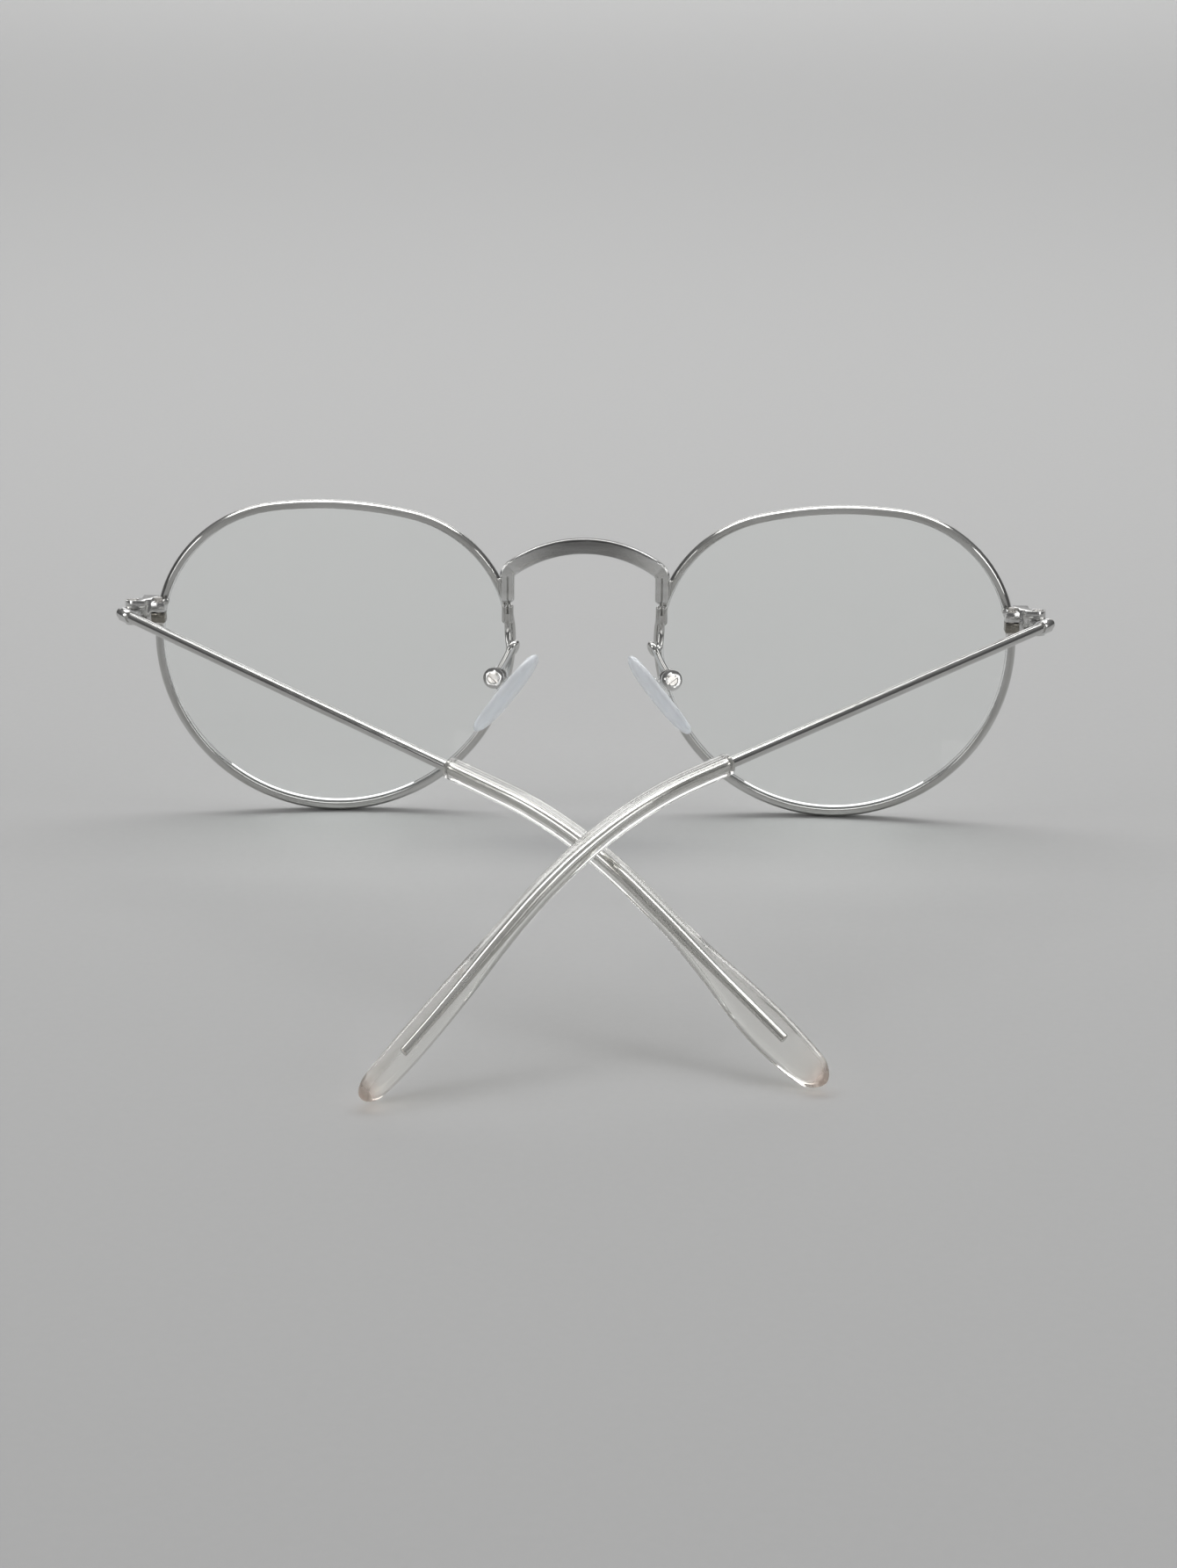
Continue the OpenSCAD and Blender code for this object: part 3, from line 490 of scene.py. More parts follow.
def lens_ring(line, share, radius):
    """Outline drawn in to a share of its size, on a face with the given radius."""
    spots = [(share * x, lens_mid + share * (y - lens_mid)) for x, y in line]
    return [(x, y, lens_apex - lens_curve + sqrt(radius ** 2 - x * x - (y - lens_mid) ** 2))
            for x, y in spots]


def lens_mesh(name):
    """Front face, bevelled edge and back face, ring by ring, closed at both middles."""
    inner, outer = eye_outline(-lens_inset), eye_outline(-lens_fit)
    edge = [(inner, bevel_foot), (outer, bevel_crest), (outer, -bevel_crest), (inner, -bevel_foot)]
    shares = [k / 22 for k in range(1, 23)]
    rings = [lens_ring(inner, share, lens_curve) for share in shares]
    rings += [[(x, y, z) for x, y in line] for line, z in edge]
    rings += [lens_ring(inner, share, lens_curve - lens_t) for share in reversed(shares)]
    points = [p for ring in rings for p in ring]
    count = len(inner)
    front, back = len(points), len(points) + 1
    points += [(0, lens_mid, lens_apex), (0, lens_mid, lens_apex - lens_t)]
    faces = [(front, i, (i + 1) % count) for i in range(count)]
    for k in range(len(rings) - 1):
        a = k * count
        faces += [(a + i, a + count + i, a + count + (i + 1) % count, a + (i + 1) % count)
                  for i in range(count)]
    last = (len(rings) - 1) * count
    faces += [(last + i, back, last + (i + 1) % count) for i in range(count)]
    return new_mesh(name, points, [], faces)


def let_light_through(tree, surface, passed):
    """Lets lamp light pass a clear piece, whose shadow is then as pale as the real one's."""
    ray = put(tree, "ShaderNodeLightPath")
    gap = put(tree, "ShaderNodeBsdfTransparent", {"Color": (*passed, 1)})
    either = put(tree, "ShaderNodeMixShader", {0: ray.outputs["Is Shadow Ray"]})
    tree.links.new(surface.outputs["BSDF"], either.inputs[1])
    tree.links.new(gap.outputs["BSDF"], either.inputs[2])
    tree.links.new(either.outputs["Shader"], tree.nodes["Material Output"].inputs["Surface"])


def handling_group():
    """Smears and small ripples on a clear moulded or ground surface."""
    group, given = new_group("handling", [
        ("Vector", "Vector", None), ("Scale", "Float", 40.0),
        ("Clean", "Float", 0.0), ("Smeared", "Float", 0.05),
        ("Tint", "Color", (1, 1, 1, 1)), ("Smear Tint", "Color", (0.97, 0.97, 0.97, 1)),
    ], [("Color", "Color"), ("Roughness", "Float"), ("Height", "Float")])
    smears = put(group, "ShaderNodeTexNoise", {
        "Vector": given["Vector"], "Scale": given["Scale"], "Detail": 5.0, "Distortion": 0.8})
    share = put(group, "ShaderNodeMapRange", {
        "Value": smears.outputs["Fac"], "From Min": 0.5, "From Max": 0.8})
    rough = put(group, "ShaderNodeMapRange", {
        "Value": share.outputs["Result"], "To Min": given["Clean"], "To Max": given["Smeared"]})
    tint = put(group, "ShaderNodeMix", {
        "Factor": share.outputs["Result"], "A": given["Tint"], "B": given["Smear Tint"]},
        data_type="RGBA")
    put(group, "NodeGroupOutput", {
        "Color": tint.outputs["Result"], "Roughness": rough.outputs["Result"],
        "Height": smears.outputs["Fac"]})
    return group


handling = handling_group()


def clear_finish(name, scale, clean, smeared, tint, smear_tint, clear, bends, passed):
    """Clear or milky stuff marked by hands; clear is its transmission, bends its index."""
    material, tree, surface = new_finish(name)
    place = put(tree, "ShaderNodeTexCoord")
    touch = use(tree, handling, Vector=place.outputs["Object"], Scale=scale, Clean=clean,
                Smeared=smeared, Tint=(*tint, 1), Smear_Tint=(*smear_tint, 1))
    surface.inputs["Transmission Weight"].default_value = clear
    surface.inputs["IOR"].default_value = bends
    tree.links.new(touch["Color"], surface.inputs["Base Color"])
    tree.links.new(touch["Roughness"], surface.inputs["Roughness"])
    let_light_through(tree, surface, passed)
    return material, surface, touch


def lens_finish():
    """Optical plastic with the low gleam of a coated lens."""
    material, surface = clear_finish(
        "clear_lens", scale=90.0, clean=0.0, smeared=0.03, tint=(0.975, 0.99, 0.982),
        smear_tint=(0.965, 0.98, 0.972), clear=1, bends=1.5, passed=(0.9, 0.92, 0.91))[:2]
    surface.inputs["Specular Tint"].default_value = (0.1, 0.1, 0.1, 1)
    return material


clear_lens = lens_finish()
for side, place in sides.items():
    mesh = lens_mesh(side + "_lens_disc")
    mesh.materials.append(clear_lens)
    set_down(side + "_lens_disc", mesh, place @ eye_frame, "front", "lens_glass", side + "_lens")


# Bridge
#
# A flat strip bent to an arch over the nose. Each end is pressed into two rounded ridges
# and silver-soldered to the back of a rim. Its back keeps the satin of the rolled strip.
# Its colour is painted darker in the middle than at the ends, a painted reflection of the dim
# room.

foot_x, foot_low, bridge_rise = 11.0, 5.2, 13.5
# Distances from the middle where the strip's painted shade is fullest and where it ends, and the
# share of colour left where it is fullest
painted_shade_full_at, painted_shade_gone_at, painted_shade_depth = 3.0, 10.5, 0.5
# Radius of the solder, its place beside the foot, its lean, where it starts and stops
solder_r, solder_off, solder_lean, solder_low, solder_high = 0.26, 0.93, 0.25, 0.9, 5.2
solder_proud = (0.06, 0.04)


def rear_y(x):
    """Depth of the rims' rear plane at a distance x from the middle."""
    form = radians(face_form)
    return (x - eye_x) * tan(form) + rim_depth / 2 / cos(form)


def over_the_strip(tree):
    """Marks run from foot to foot."""
    place = put(tree, "ShaderNodeTexCoord")
    long = put(tree, "ShaderNodeMapping", {
        "Vector": place.outputs["Object"], "Scale": (120, 1400, 1400)})
    return long.outputs["Vector"]


def strip_finish():
    """The strip's colour is painted darker in its middle than towards its two ends: painted shade,
    a painted reflection of the dim room.
    """
    material = metal_finish(
        "rolled_strip", over_the_strip, marks=1.0, cloud=0.25, smoothest=0.10, dullest=0.20,
        bright=(0.74, 0.74, 0.73), dull=(0.56, 0.555, 0.54), bump=0.22)
    tree = material.node_tree
    surface = next(n for n in tree.nodes if n.type == "BSDF_PRINCIPLED")
    plated = surface.inputs["Base Color"].links[0].from_socket
    place = put(tree, "ShaderNodeTexCoord")
    parts = put(tree, "ShaderNodeSeparateXYZ", {"Vector": place.outputs["Object"]})
    off = put(tree, "ShaderNodeMath", {0: parts.outputs["X"]}, operation="ABSOLUTE")
    share = put(tree, "ShaderNodeMapRange", {
        "Value": off.outputs[0], "From Min": painted_shade_full_at * mm, "From Max": painted_shade_gone_at * mm,
        "To Min": painted_shade_depth}, interpolation_type="SMOOTHSTEP")
    grey = put(tree, "ShaderNodeCombineColor", {
        "Red": share.outputs["Result"], "Green": share.outputs["Result"],
        "Blue": share.outputs["Result"]})
    # Painted shade: the plating colour is multiplied darker towards the middle of the strip
    painted_shade_colour = put(tree, "ShaderNodeMix", {
        "Factor": 1.0, "A": plated, "B": grey.outputs[0]}, data_type="RGBA",
        blend_type="MULTIPLY")
    tree.links.new(painted_shade_colour.outputs["Result"], surface.inputs["Base Color"])
    return material


rolled_strip = strip_finish()


def softened(node, name, body, slot, material, width, crease=30):
    """A copy of a CAD solid with its sharp edges eased, as tumbling and plating leave them."""
    bm = bmesh.new()
    bm.from_mesh(nodes[node].data)
    bmesh.ops.remove_doubles(bm, verts=bm.verts, dist=1e-6)
    bmesh.ops.dissolve_limit(bm, angle_limit=radians(0.5), verts=bm.verts, edges=bm.edges)
    sharp = [e for e in bm.edges if e.is_manifold and e.calc_face_angle() > radians(crease)]
    bmesh.ops.bevel(bm, geom=sharp, offset=width * mm, segments=2, profile=0.5,
                    affect="EDGES", clamp_overlap=True)
    mesh = bpy.data.meshes.new(name)
    bm.to_mesh(mesh)
    bm.free()
    mesh.materials.clear()
    mesh.materials.append(material)
    set_down(name, mesh, Matrix.Identity(4), body, slot, node)


softened("bridge", "bridge_strip", "front", "silver", rolled_strip, width=0.05, crease=40)


def drawn_wire():
    """Round wire drawn along lines; a line's own share makes it thinner."""
    tree, keys, given = new_tree("drawn_wire", {
        "Thickness": "Float", "Sides": "Int", "Material": "Material"})
    line = put(tree, "GeometryNodeMeshToCurve", {"Mesh": given["Geometry"]})
    level = put(tree, "GeometryNodeSetCurveNormal", {"Curve": line.outputs["Curve"]},
                mode="MINIMUM_TWIST")
    station = put(tree, "GeometryNodeSplineParameter")
    path = stored(tree, level.outputs["Curve"], "along", station.outputs["Length"])
    radius = put(tree, "ShaderNodeMath", {0: given["Thickness"], 1: 0.5}, operation="MULTIPLY")
    ring = put(tree, "GeometryNodeCurvePrimitiveCircle", {
        "Resolution": given["Sides"], "Radius": radius.outputs[0]})
    around = put(tree, "GeometryNodeSplineParameter")
    outline = stored(tree, ring.outputs["Curve"], "around", around.outputs["Factor"])
    share = put(tree, "GeometryNodeInputNamedAttribute", {"Name": "share"}, data_type="FLOAT")
    body = put(tree, "GeometryNodeCurveToMesh", {
        "Curve": path, "Profile Curve": outline, "Fill Caps": True,
        "Scale": share.outputs["Attribute"]})
    end_tree(tree, body.outputs["Mesh"], given["Material"])
    return tree, keys


wire_tree, wire_keys = drawn_wire()


def wire_lines(name, lines):
    """One mesh of open lines; each point is a place and its share of the thickness."""
    points, edges, shares = [], [], []
    for line in lines:
        edges += [(len(points) + a, len(points) + b) for a, b in chain(len(line))]
        points += [p for p, share in line]
        shares += [share for p, share in line]
    mesh = new_mesh(name, points, edges)
    mesh.attributes.new("share", "FLOAT", "POINT").data.foreach_set("value", shares)
    return mesh


def rod(start, end, radius, steps=7):
    """Straight line with rounded ends, radius beyond each of its two end points."""
    start, end = Vector(start), Vector(end)
    way = (end - start).normalized()
    turns = [k * pi / 2 / steps for k in range(steps + 1)]
    line = [(start - way * radius * cos(a), max(sin(a), 0.03)) for a in turns]
    return line + [(end + way * radius * cos(a), max(sin(a), 0.03)) for a in reversed(turns)]


def make_solder():
    """Thin runs of solder in the angle between a foot and the rim."""
    x = foot_x + solder_off
    low = (x, rear_y(x) + solder_proud[0], eye_z + foot_low + solder_low)
    high = (x + solder_lean, rear_y(x) + solder_proud[1], eye_z + bridge_rise - solder_high)
    seam = rod(low, high, solder_r)
    for side, place in sides.items():
        mesh = grown(side + "_bridge_solder", wire_lines("seam", [seam]), wire_tree, wire_keys,
                     Thickness=2 * solder_r, Sides=16, Material=plated_wire)
        set_down(side + "_bridge_solder", mesh, place, "front", "silver")


make_solder()


# Closing blocks, endpieces and hinges
#
# Two small blocks behind each rim close its cut round a screw. The endpiece clasps the rim
# from outside and carries two knuckles; the arm's own knuckle turns between them. All are
# small castings, tumbled smooth before they are soldered and plated.

def over_the_part(tree):
    """Marks lie on the part without a direction."""
    place = put(tree, "ShaderNodeTexCoord")
    return place.outputs["Object"]


plated_casting = metal_finish(
    "plated_casting", over_the_part, marks=1500.0, cloud=420.0, smoothest=0.10, dullest=0.24,
    bright=(0.76, 0.76, 0.75), dull=(0.52, 0.515, 0.50), bump=0.14)
# Painted shade: the lower blocks are coloured dark and brownish, where the real plated blocks only
# reflect dim surroundings
painted_shade_casting = metal_finish(
    "painted_shade_casting", over_the_part, marks=1300.0, cloud=500.0, smoothest=0.16, dullest=0.32,
    bright=(0.30, 0.285, 0.25), dull=(0.16, 0.15, 0.13), bump=0.2)

for side in sides:
    softened(side + "_rim_lock_upper", side + "_upper_block", "front", "silver",
             plated_casting, width=0.2)
    # The lower block takes the dark painted shade colour
    softened(side + "_rim_lock_lower", side + "_lower_block", "front", "silver",
             painted_shade_casting, width=0.15)
    softened(side + "_endpiece", side + "_end_casting", "front", "silver",
             plated_casting, width=0.2)
    softened(side + "_temple_hinge", side + "_arm_knuckle", side + "_temple", "silver",
             plated_casting, width=0.08)


# Screws
#
# Six slotted screws of turned steel: one closes each rim, one is the pin of each hinge and
# one holds each nose pad in its box.

# The hinge, the closing block and the pad box, in their places in the solids
hinge_out, hinge_back, knuckle_mid, knuckle_end, hinge_gap = 2.74, 2.47, 1.1, 1.15, 0.05
lock_w, lock_d, lock_h, lock_gap, lock_past, lock_screw_at = 1.9, 2.2, 1.35, rim_cut / 2, 0.05, 0.6
form = radians(face_form)
rim_out_x, rim_out_y = eye_x + rim_r * cos(form), rim_r * sin(form)
hinge = Vector((rim_out_x + hinge_out, rim_out_y + hinge_back, eye_z + hinge_rise))
end_high = knuckle_mid / 2 + hinge_gap + knuckle_end
lock_x = rim_out_x - lock_w / 2 + lock_past
lock_screw_y = rear_y(lock_x) + lock_d * lock_screw_at
closing_tip, hinge_head, pad_tip = 0.6, 0.4, 0.1
# Straight share of a head's height, and radius of its flat face as a share of its width
head_straight, head_flat = 0.45, 0.37

pad_centre = Vector((10.7, 8.1, eye_z - 6.4))
pad_lean, pad_splay, pad_t = 38, 14, 1.9
pad_back, box_up, box_r, tab_w, box_cheek = pad_t * 0.42, 0.7, 1.5, 1.2, 0.5
plate_t, plate_gap = 0.35, 0.1
box_half = tab_w / 2 + hinge_gap + box_cheek
box_z = -(pad_back + plate_t + box_r + plate_gap)
pad_frame = (Matrix.Translation(pad_centre) @ turn(-pad_lean, "Y")
             @ turn(-90 - pad_splay, "Z") @ turn(90, "X"))


def slotted_screw():
    """Screw that points up from its head, which has a slot and an eased edge."""
    tree, keys, given = new_tree("slotted_screw", {
        "Shank": "Float", "Length": "Float", "Head": "Float", "Head Height": "Float",
        "Slot": "Float", "Sides": "Int", "Material": "Material"})

    def times(value, factor):
        return put(tree, "ShaderNodeMath", {0: value, 1: factor}, operation="MULTIPLY").outputs[0]

    def at_height(shape, z):
        spot = put(tree, "ShaderNodeCombineXYZ", {"Z": z})
        return put(tree, "GeometryNodeTransform", {
            "Geometry": shape, "Translation": spot.outputs[0]}).outputs["Geometry"]

    tall = given["Head Height"]
    shank = put(tree, "GeometryNodeMeshCylinder", {
        "Vertices": given["Sides"], "Radius": times(given["Shank"], 0.5),
        "Depth": given["Length"]})
    disc = put(tree, "GeometryNodeMeshCylinder", {
        "Vertices": given["Sides"], "Radius": times(given["Head"], 0.5),
        "Depth": times(tall, head_straight)})
    edge = put(tree, "GeometryNodeMeshCone", {
        "Vertices": given["Sides"], "Radius Top": times(given["Head"], 0.5),
        "Radius Bottom": times(given["Head"], head_flat), "Depth": times(tall, 1 - head_straight)})
    joined = put(tree, "GeometryNodeMeshBoolean", operation="UNION", solver="EXACT")
    for part in (at_height(shank.outputs["Mesh"], times(given["Length"], 0.499)),
                 at_height(disc.outputs["Mesh"], times(tall, -head_straight / 2)),
                 at_height(edge.outputs["Mesh"], times(tall, -1.0))):
        tree.links.new(part, joined.inputs["Mesh 2"])
    wide = put(tree, "ShaderNodeCombineXYZ", {
        "X": times(given["Head"], 2.0), "Y": given["Slot"], "Z": tall})
    blade = put(tree, "GeometryNodeMeshCube", {"Size": wide.outputs[0]})
    cut = put(tree, "GeometryNodeMeshBoolean", {
        "Mesh 1": joined.outputs["Mesh"],
        "Mesh 2": at_height(blade.outputs["Mesh"], times(tall, -1.0))},
        operation="DIFFERENCE", solver="EXACT")
    spot = put(tree, "GeometryNodeInputPosition")
    flat = put(tree, "ShaderNodeVectorMath", {0: spot.outputs[0], 1: (1, 1, 0)},
               operation="MULTIPLY")
    far = put(tree, "ShaderNodeVectorMath", {0: flat.outputs[0]}, operation="LENGTH")
    turned = stored(tree, cut.outputs["Mesh"], "turned", far.outputs["Value"])
    end_tree(tree, turned, given["Material"])
    return tree, keys


def round_the_screw(tree):
    """Rings that the lathe leaves on a screw's head."""
    ring = put(tree, "ShaderNodeAttribute", attribute_name="turned")
    both = put(tree, "ShaderNodeCombineXYZ", {"X": ring.outputs["Fac"]})
    place = put(tree, "ShaderNodeTexCoord")
    near = put(tree, "ShaderNodeVectorMath", {0: place.outputs["Object"], 1: (60, 60, 60)},
               operation="MULTIPLY")
    mixed = put(tree, "ShaderNodeVectorMath", {0: both.outputs[0], 1: near.outputs[0]},
                operation="ADD")
    return mixed.outputs[0]


turned_steel = metal_finish(
    "turned_steel", round_the_screw, marks=9.0, cloud=3.0, smoothest=0.16, dullest=0.34,
    bright=(0.74, 0.72, 0.69), dull=(0.55, 0.52, 0.48), bump=0.3)


def make_screws():
    """Each kind has its place, thickness and length, and its head's width and height."""
    tree, keys = slotted_screw()
    kinds = {
        "closing_screw": (shift(lock_x, lock_screw_y, hinge.z - lock_gap - lock_h),
                          1.0, 2 * (lock_h + lock_gap) + closing_tip, 1.6, 0.45),
        "hinge_screw": (shift(hinge.x, hinge.y, hinge.z + end_high - hinge_head) @ turn(180, "X"),
                        1.2, 2 * end_high - hinge_head, 1.6, hinge_head),
        "pad_screw": (pad_frame @ shift(-box_half, box_up, box_z) @ turn(90, "Y"),
                      0.9, 2 * box_half + pad_tip, 1.8, 0.45),
    }
    for side, place in sides.items():
        for kind, (spot, shank, length, head, tall) in kinds.items():
            mesh = grown(side + "_" + kind, new_mesh("seed", [(0, 0, 0)]), tree, keys,
                         Shank=shank, Length=length, Head=head, Head_Height=tall,
                         Slot=head / 6, Sides=40, Material=turned_steel)
            set_down(side + "_slotted_" + kind, mesh, place @ spot, "front", "screw_steel",
                     side + "_" + kind)


make_screws()


# Pad arms, boxes and inserts
#
# A thin wire runs from the back of each rim in a loop to a small box, and two short ridges
# are soldered on beside its foot. The box's cheeks hold the clear tab of the nose pad.

pad_wire_d, wire_seat, box_lead, wire_end_gap = 0.95, 0.42, 1.9, 0.06
pad_ridge_r, pad_ridge_x, pad_ridge_l, pad_ridge_low = 0.42, 0.425, 2.0, 2.5
# Places from the wire's foot: down the rim, back and up, and over the bend to the box
pad_fall = [(0, 0, 3.6), (0, 0, 2.2), (-0.05, 0.2, 0.6), (-0.3, 1.1, -1), (-0.9, 2.9, -1.4),
            (-1.4, 4.7, -0.4)]
pad_rise, pad_over = Vector((-1.5, 6, 0.5)), Vector((-0.9, 7, 0.2))


def smooth_line(knots, steps):
    """Smooth line through a list of points."""
    line = []
    for i in range(len(knots) - 1):
        a, b = knots[max(i - 1, 0)], knots[i]
        c, d = knots[i + 1], knots[min(i + 2, len(knots) - 1)]
        for k in range(steps):
            t = k / steps
            line.append(0.5 * (2 * b + (c - a) * t + (2 * a - 5 * b + 4 * c - d) * t * t
                               + (3 * b - a - 3 * c + d) * t ** 3))
    return line + [knots[-1]]


def pad_arm_line():
    """Middle line of the wire, from the rim to the box."""
    foot = Vector((foot_x, rear_y(foot_x) + wire_seat, eye_z))
    apex = foot + pad_rise
    lean, splay = radians(pad_lean), radians(pad_splay)
    up = Vector((-sin(lean), 0, cos(lean)))
    out = Vector((-cos(lean) * cos(splay), sin(splay), -sin(lean) * cos(splay)))
    across = up.cross(out)
    box = pad_centre + box_up * up + box_z * out
    to_apex = apex - box
    top = (to_apex - to_apex.dot(across) * across).normalized()
    knots = [foot + Vector(step) for step in pad_fall]
    knots += [apex, foot + pad_over, box + (box_r + box_lead) * top,
              box + (box_r + wire_end_gap) * top]
    return smooth_line(knots, 12)


def make_pad_arms():
    """The wire, with a tapered start, and the two ridges beside it in one mesh."""
    line = pad_arm_line()
    wire = [(line[0], 0.6)] + [(p, 1.0) for p in line[1:]]
    ridges = []
    for x in (foot_x - pad_ridge_x, foot_x + pad_ridge_x):
        low = Vector((x, rear_y(foot_x) + wire_seat, eye_z + pad_ridge_low))
        ridges.append([(p, share * 2 * pad_ridge_r / pad_wire_d)
                       for p, share in rod(low, low + Vector((0, 0, pad_ridge_l)), pad_ridge_r)])
    for side, place in sides.items():
        mesh = grown(side + "_pad_arm_wire", wire_lines("wire", [wire] + ridges), wire_tree,
                     wire_keys, Thickness=pad_wire_d, Sides=24, Material=plated_wire)
        set_down(side + "_pad_arm_wire", mesh, place, "front", "silver", side + "_pad_arm")


make_pad_arms()


clear_tab = clear_finish(
    "clear_tab", scale=700.0, clean=0.08, smeared=0.25, tint=(0.95, 0.95, 0.94),
    smear_tint=(0.9, 0.9, 0.89), clear=1, bends=1.49, passed=(0.8, 0.8, 0.8))[0]
for side in sides:
    softened(side + "_pad_box", side + "_box_shell", "front", "silver", plated_casting,
             width=0.2)
    insert = nodes[side + "_pad_insert"].data
    insert.materials.clear()
    insert.materials.append(clear_tab)


# Nose pads
#
# Soft silicone pads, moulded round the plate of the clear tab. They are milky and slightly
# blue, flat at the back and crowned towards the nose.

pad_l, pad_w, pad_fullness = 14.0, 7.5, 0.86


def pad_mesh(name):
    """Rings of the pad's outline, each with its share of the size and its height."""
    steps = [(0.80, -1.0 * pad_back), (0.90, -0.97 * pad_back), (0.955, -0.82 * pad_back),
             (1.0, -0.35 * pad_back), (0.99, 0.05 * pad_back), (0.93, 0.2 * pad_t),
             (0.8, 0.36 * pad_t), (0.58, 0.49 * pad_t), (0.3, 0.565 * pad_t),
             (0.06, 0.579 * pad_t)]
    rings = smooth_line([Vector((*step, 0)) for step in steps], 4)
    around = [2 * pi * i / 72 for i in range(72)]

    def rounded(value):
        return (1 if value > 0 else -1) * abs(value) ** pad_fullness

    points = [(r.x * pad_w / 2 * rounded(cos(a)), r.x * pad_l / 2 * rounded(sin(a)), r.y)
              for r in rings for a in around]
    count = len(around)
    faces = [(k * count + i, k * count + (i + 1) % count, (k + 1) * count + (i + 1) % count,
              (k + 1) * count + i) for k in range(len(rings) - 1) for i in range(count)]
    faces.append(tuple(reversed(range(count))))
    last = (len(rings) - 1) * count
    faces.append(tuple(range(last, last + count)))
    return new_mesh(name, points, [], faces)


def silicone_finish():
    """Milky silicone with a slightly uneven skin."""
    material, surface, touch = clear_finish(
        "soft_silicone", scale=420.0, clean=0.05, smeared=0.2, tint=(0.96, 0.98, 1.0),
        smear_tint=(0.92, 0.95, 0.99), clear=0.4, bends=1.42, passed=(0.6, 0.62, 0.65))
    tree = material.node_tree
    ripple = put(tree, "ShaderNodeBump", {
        "Height": touch["Height"], "Strength": 0.15, "Distance": 0.0001})
    tree.links.new(ripple.outputs["Normal"], surface.inputs["Normal"])
    return material


soft_silicone = silicone_finish()
for side, place in sides.items():
    mesh = pad_mesh(side + "_silicone_pad")
    mesh.materials.append(soft_silicone)
    set_down(side + "_silicone_pad", mesh, place @ pad_frame, side + "_pad", "silicone",
             side + "_nose_pad")


# Arms
#
# Each arm is one drawn wire with a rounded butt at the hinge. Inside the clear tip it is
# ground down to a thinner core, which bends with the tip and ends square.

knuckle_d, wire_d, core_d, arm_l, bend_at, bend_r = 2.1, 1.55, 1.0, 141.0, 93.5, 75.0
sleeve_at, butt, core_short, wire_in, step_ease, end_ease = 70.6, 0.1, 7.3, 0.02, 0.06, 0.08
# Each arm's fold, droop, bend of its end and roll of its paddle, in degrees
arms = {"left": (44.5, 7.6, 19.655, 26.0), "right": (49.1, 6.0, 25.1833, -12.0)}
wire_out = knuckle_d / 2 + wire_d / 2 + 2 * hinge_gap - wire_in


def wire_frame(side):
    """Frame of an arm's wire: X along its first stretch, Y to the inside, Z up."""
    fold, droop = arms[side][:2]
    return (sides[side] @ Matrix.Translation(hinge) @ turn(180 - fold, "Z")
            @ shift(0, -wire_out, 0) @ turn(droop, "Y"))


def arm_station(s, bend):
    """Point and upward direction of the arm's middle line, a distance s from the hinge."""
    sweep = radians(bend)
    start = bend_at - bend_r * tan(sweep / 2)
    bent = min(max(s - start, 0) / bend_r, sweep)
    last = max(s - start - bend_r * sweep, 0)
    x = min(s, start) + bend_r * sin(bent) + last * cos(sweep)
    z = -bend_r * (1 - cos(bent)) - last * sin(sweep)
    return Vector((x, 0, z)), Vector((sin(bent), 0, cos(bent)))


def arm_line(bend):
    """Line of the wire: a rounded butt, the full wire, an eased step and the thin core."""
    radius = wire_d / 2
    core = core_d / wire_d
    line = [(-butt - radius * cos(k * pi / 14), max(sin(k * pi / 14), 0.03)) for k in range(8)]
    shoulder = sleeve_at - hinge_gap
    line += [(k * shoulder / 24, 1.0) for k in range(1, 24)]
    line += [(shoulder - step_ease, 1.0), (shoulder, 0.93), (shoulder + 0.002, core)]
    core_end = arm_l - core_short
    reach = core_end - end_ease - shoulder
    line += [(shoulder + reach * k / 44, core) for k in range(1, 45)]
    line.append((core_end, core * 0.86))
    return [(arm_station(s, bend)[0], share) for s, share in line]


for side in sides:
    mesh = grown(side + "_arm_wire", wire_lines("wire", [arm_line(arms[side][2])]), wire_tree,
                 wire_keys, Thickness=wire_d, Sides=32, Material=plated_wire)
    set_down(side + "_arm_wire", mesh, wire_frame(side), side + "_temple", "silver",
             side + "_temple")


# Arm tips
#
# Clear cellulose acetate tubes, pushed over the cores and bent with them behind the ear.
# They widen to a flat rounded paddle; the last few millimetres have aged to a pale peach.

tube_d, paddle_w, paddle_t, paddle_l, paddle_drop = 2.9, 5.0, 2.6, 30.0, 0.4
tip_l, end_r, lip_l, aged_l = arm_l - sleeve_at, paddle_w / 2, 0.22, 6.0
# The paddle is a little fuller and lower than the solid, and narrows near its end
fuller, lower, narrow_l, narrow_to, narrow_lift, flat_end = 0.4, 0.15, 10.0, 0.78, 0.3, 0.8


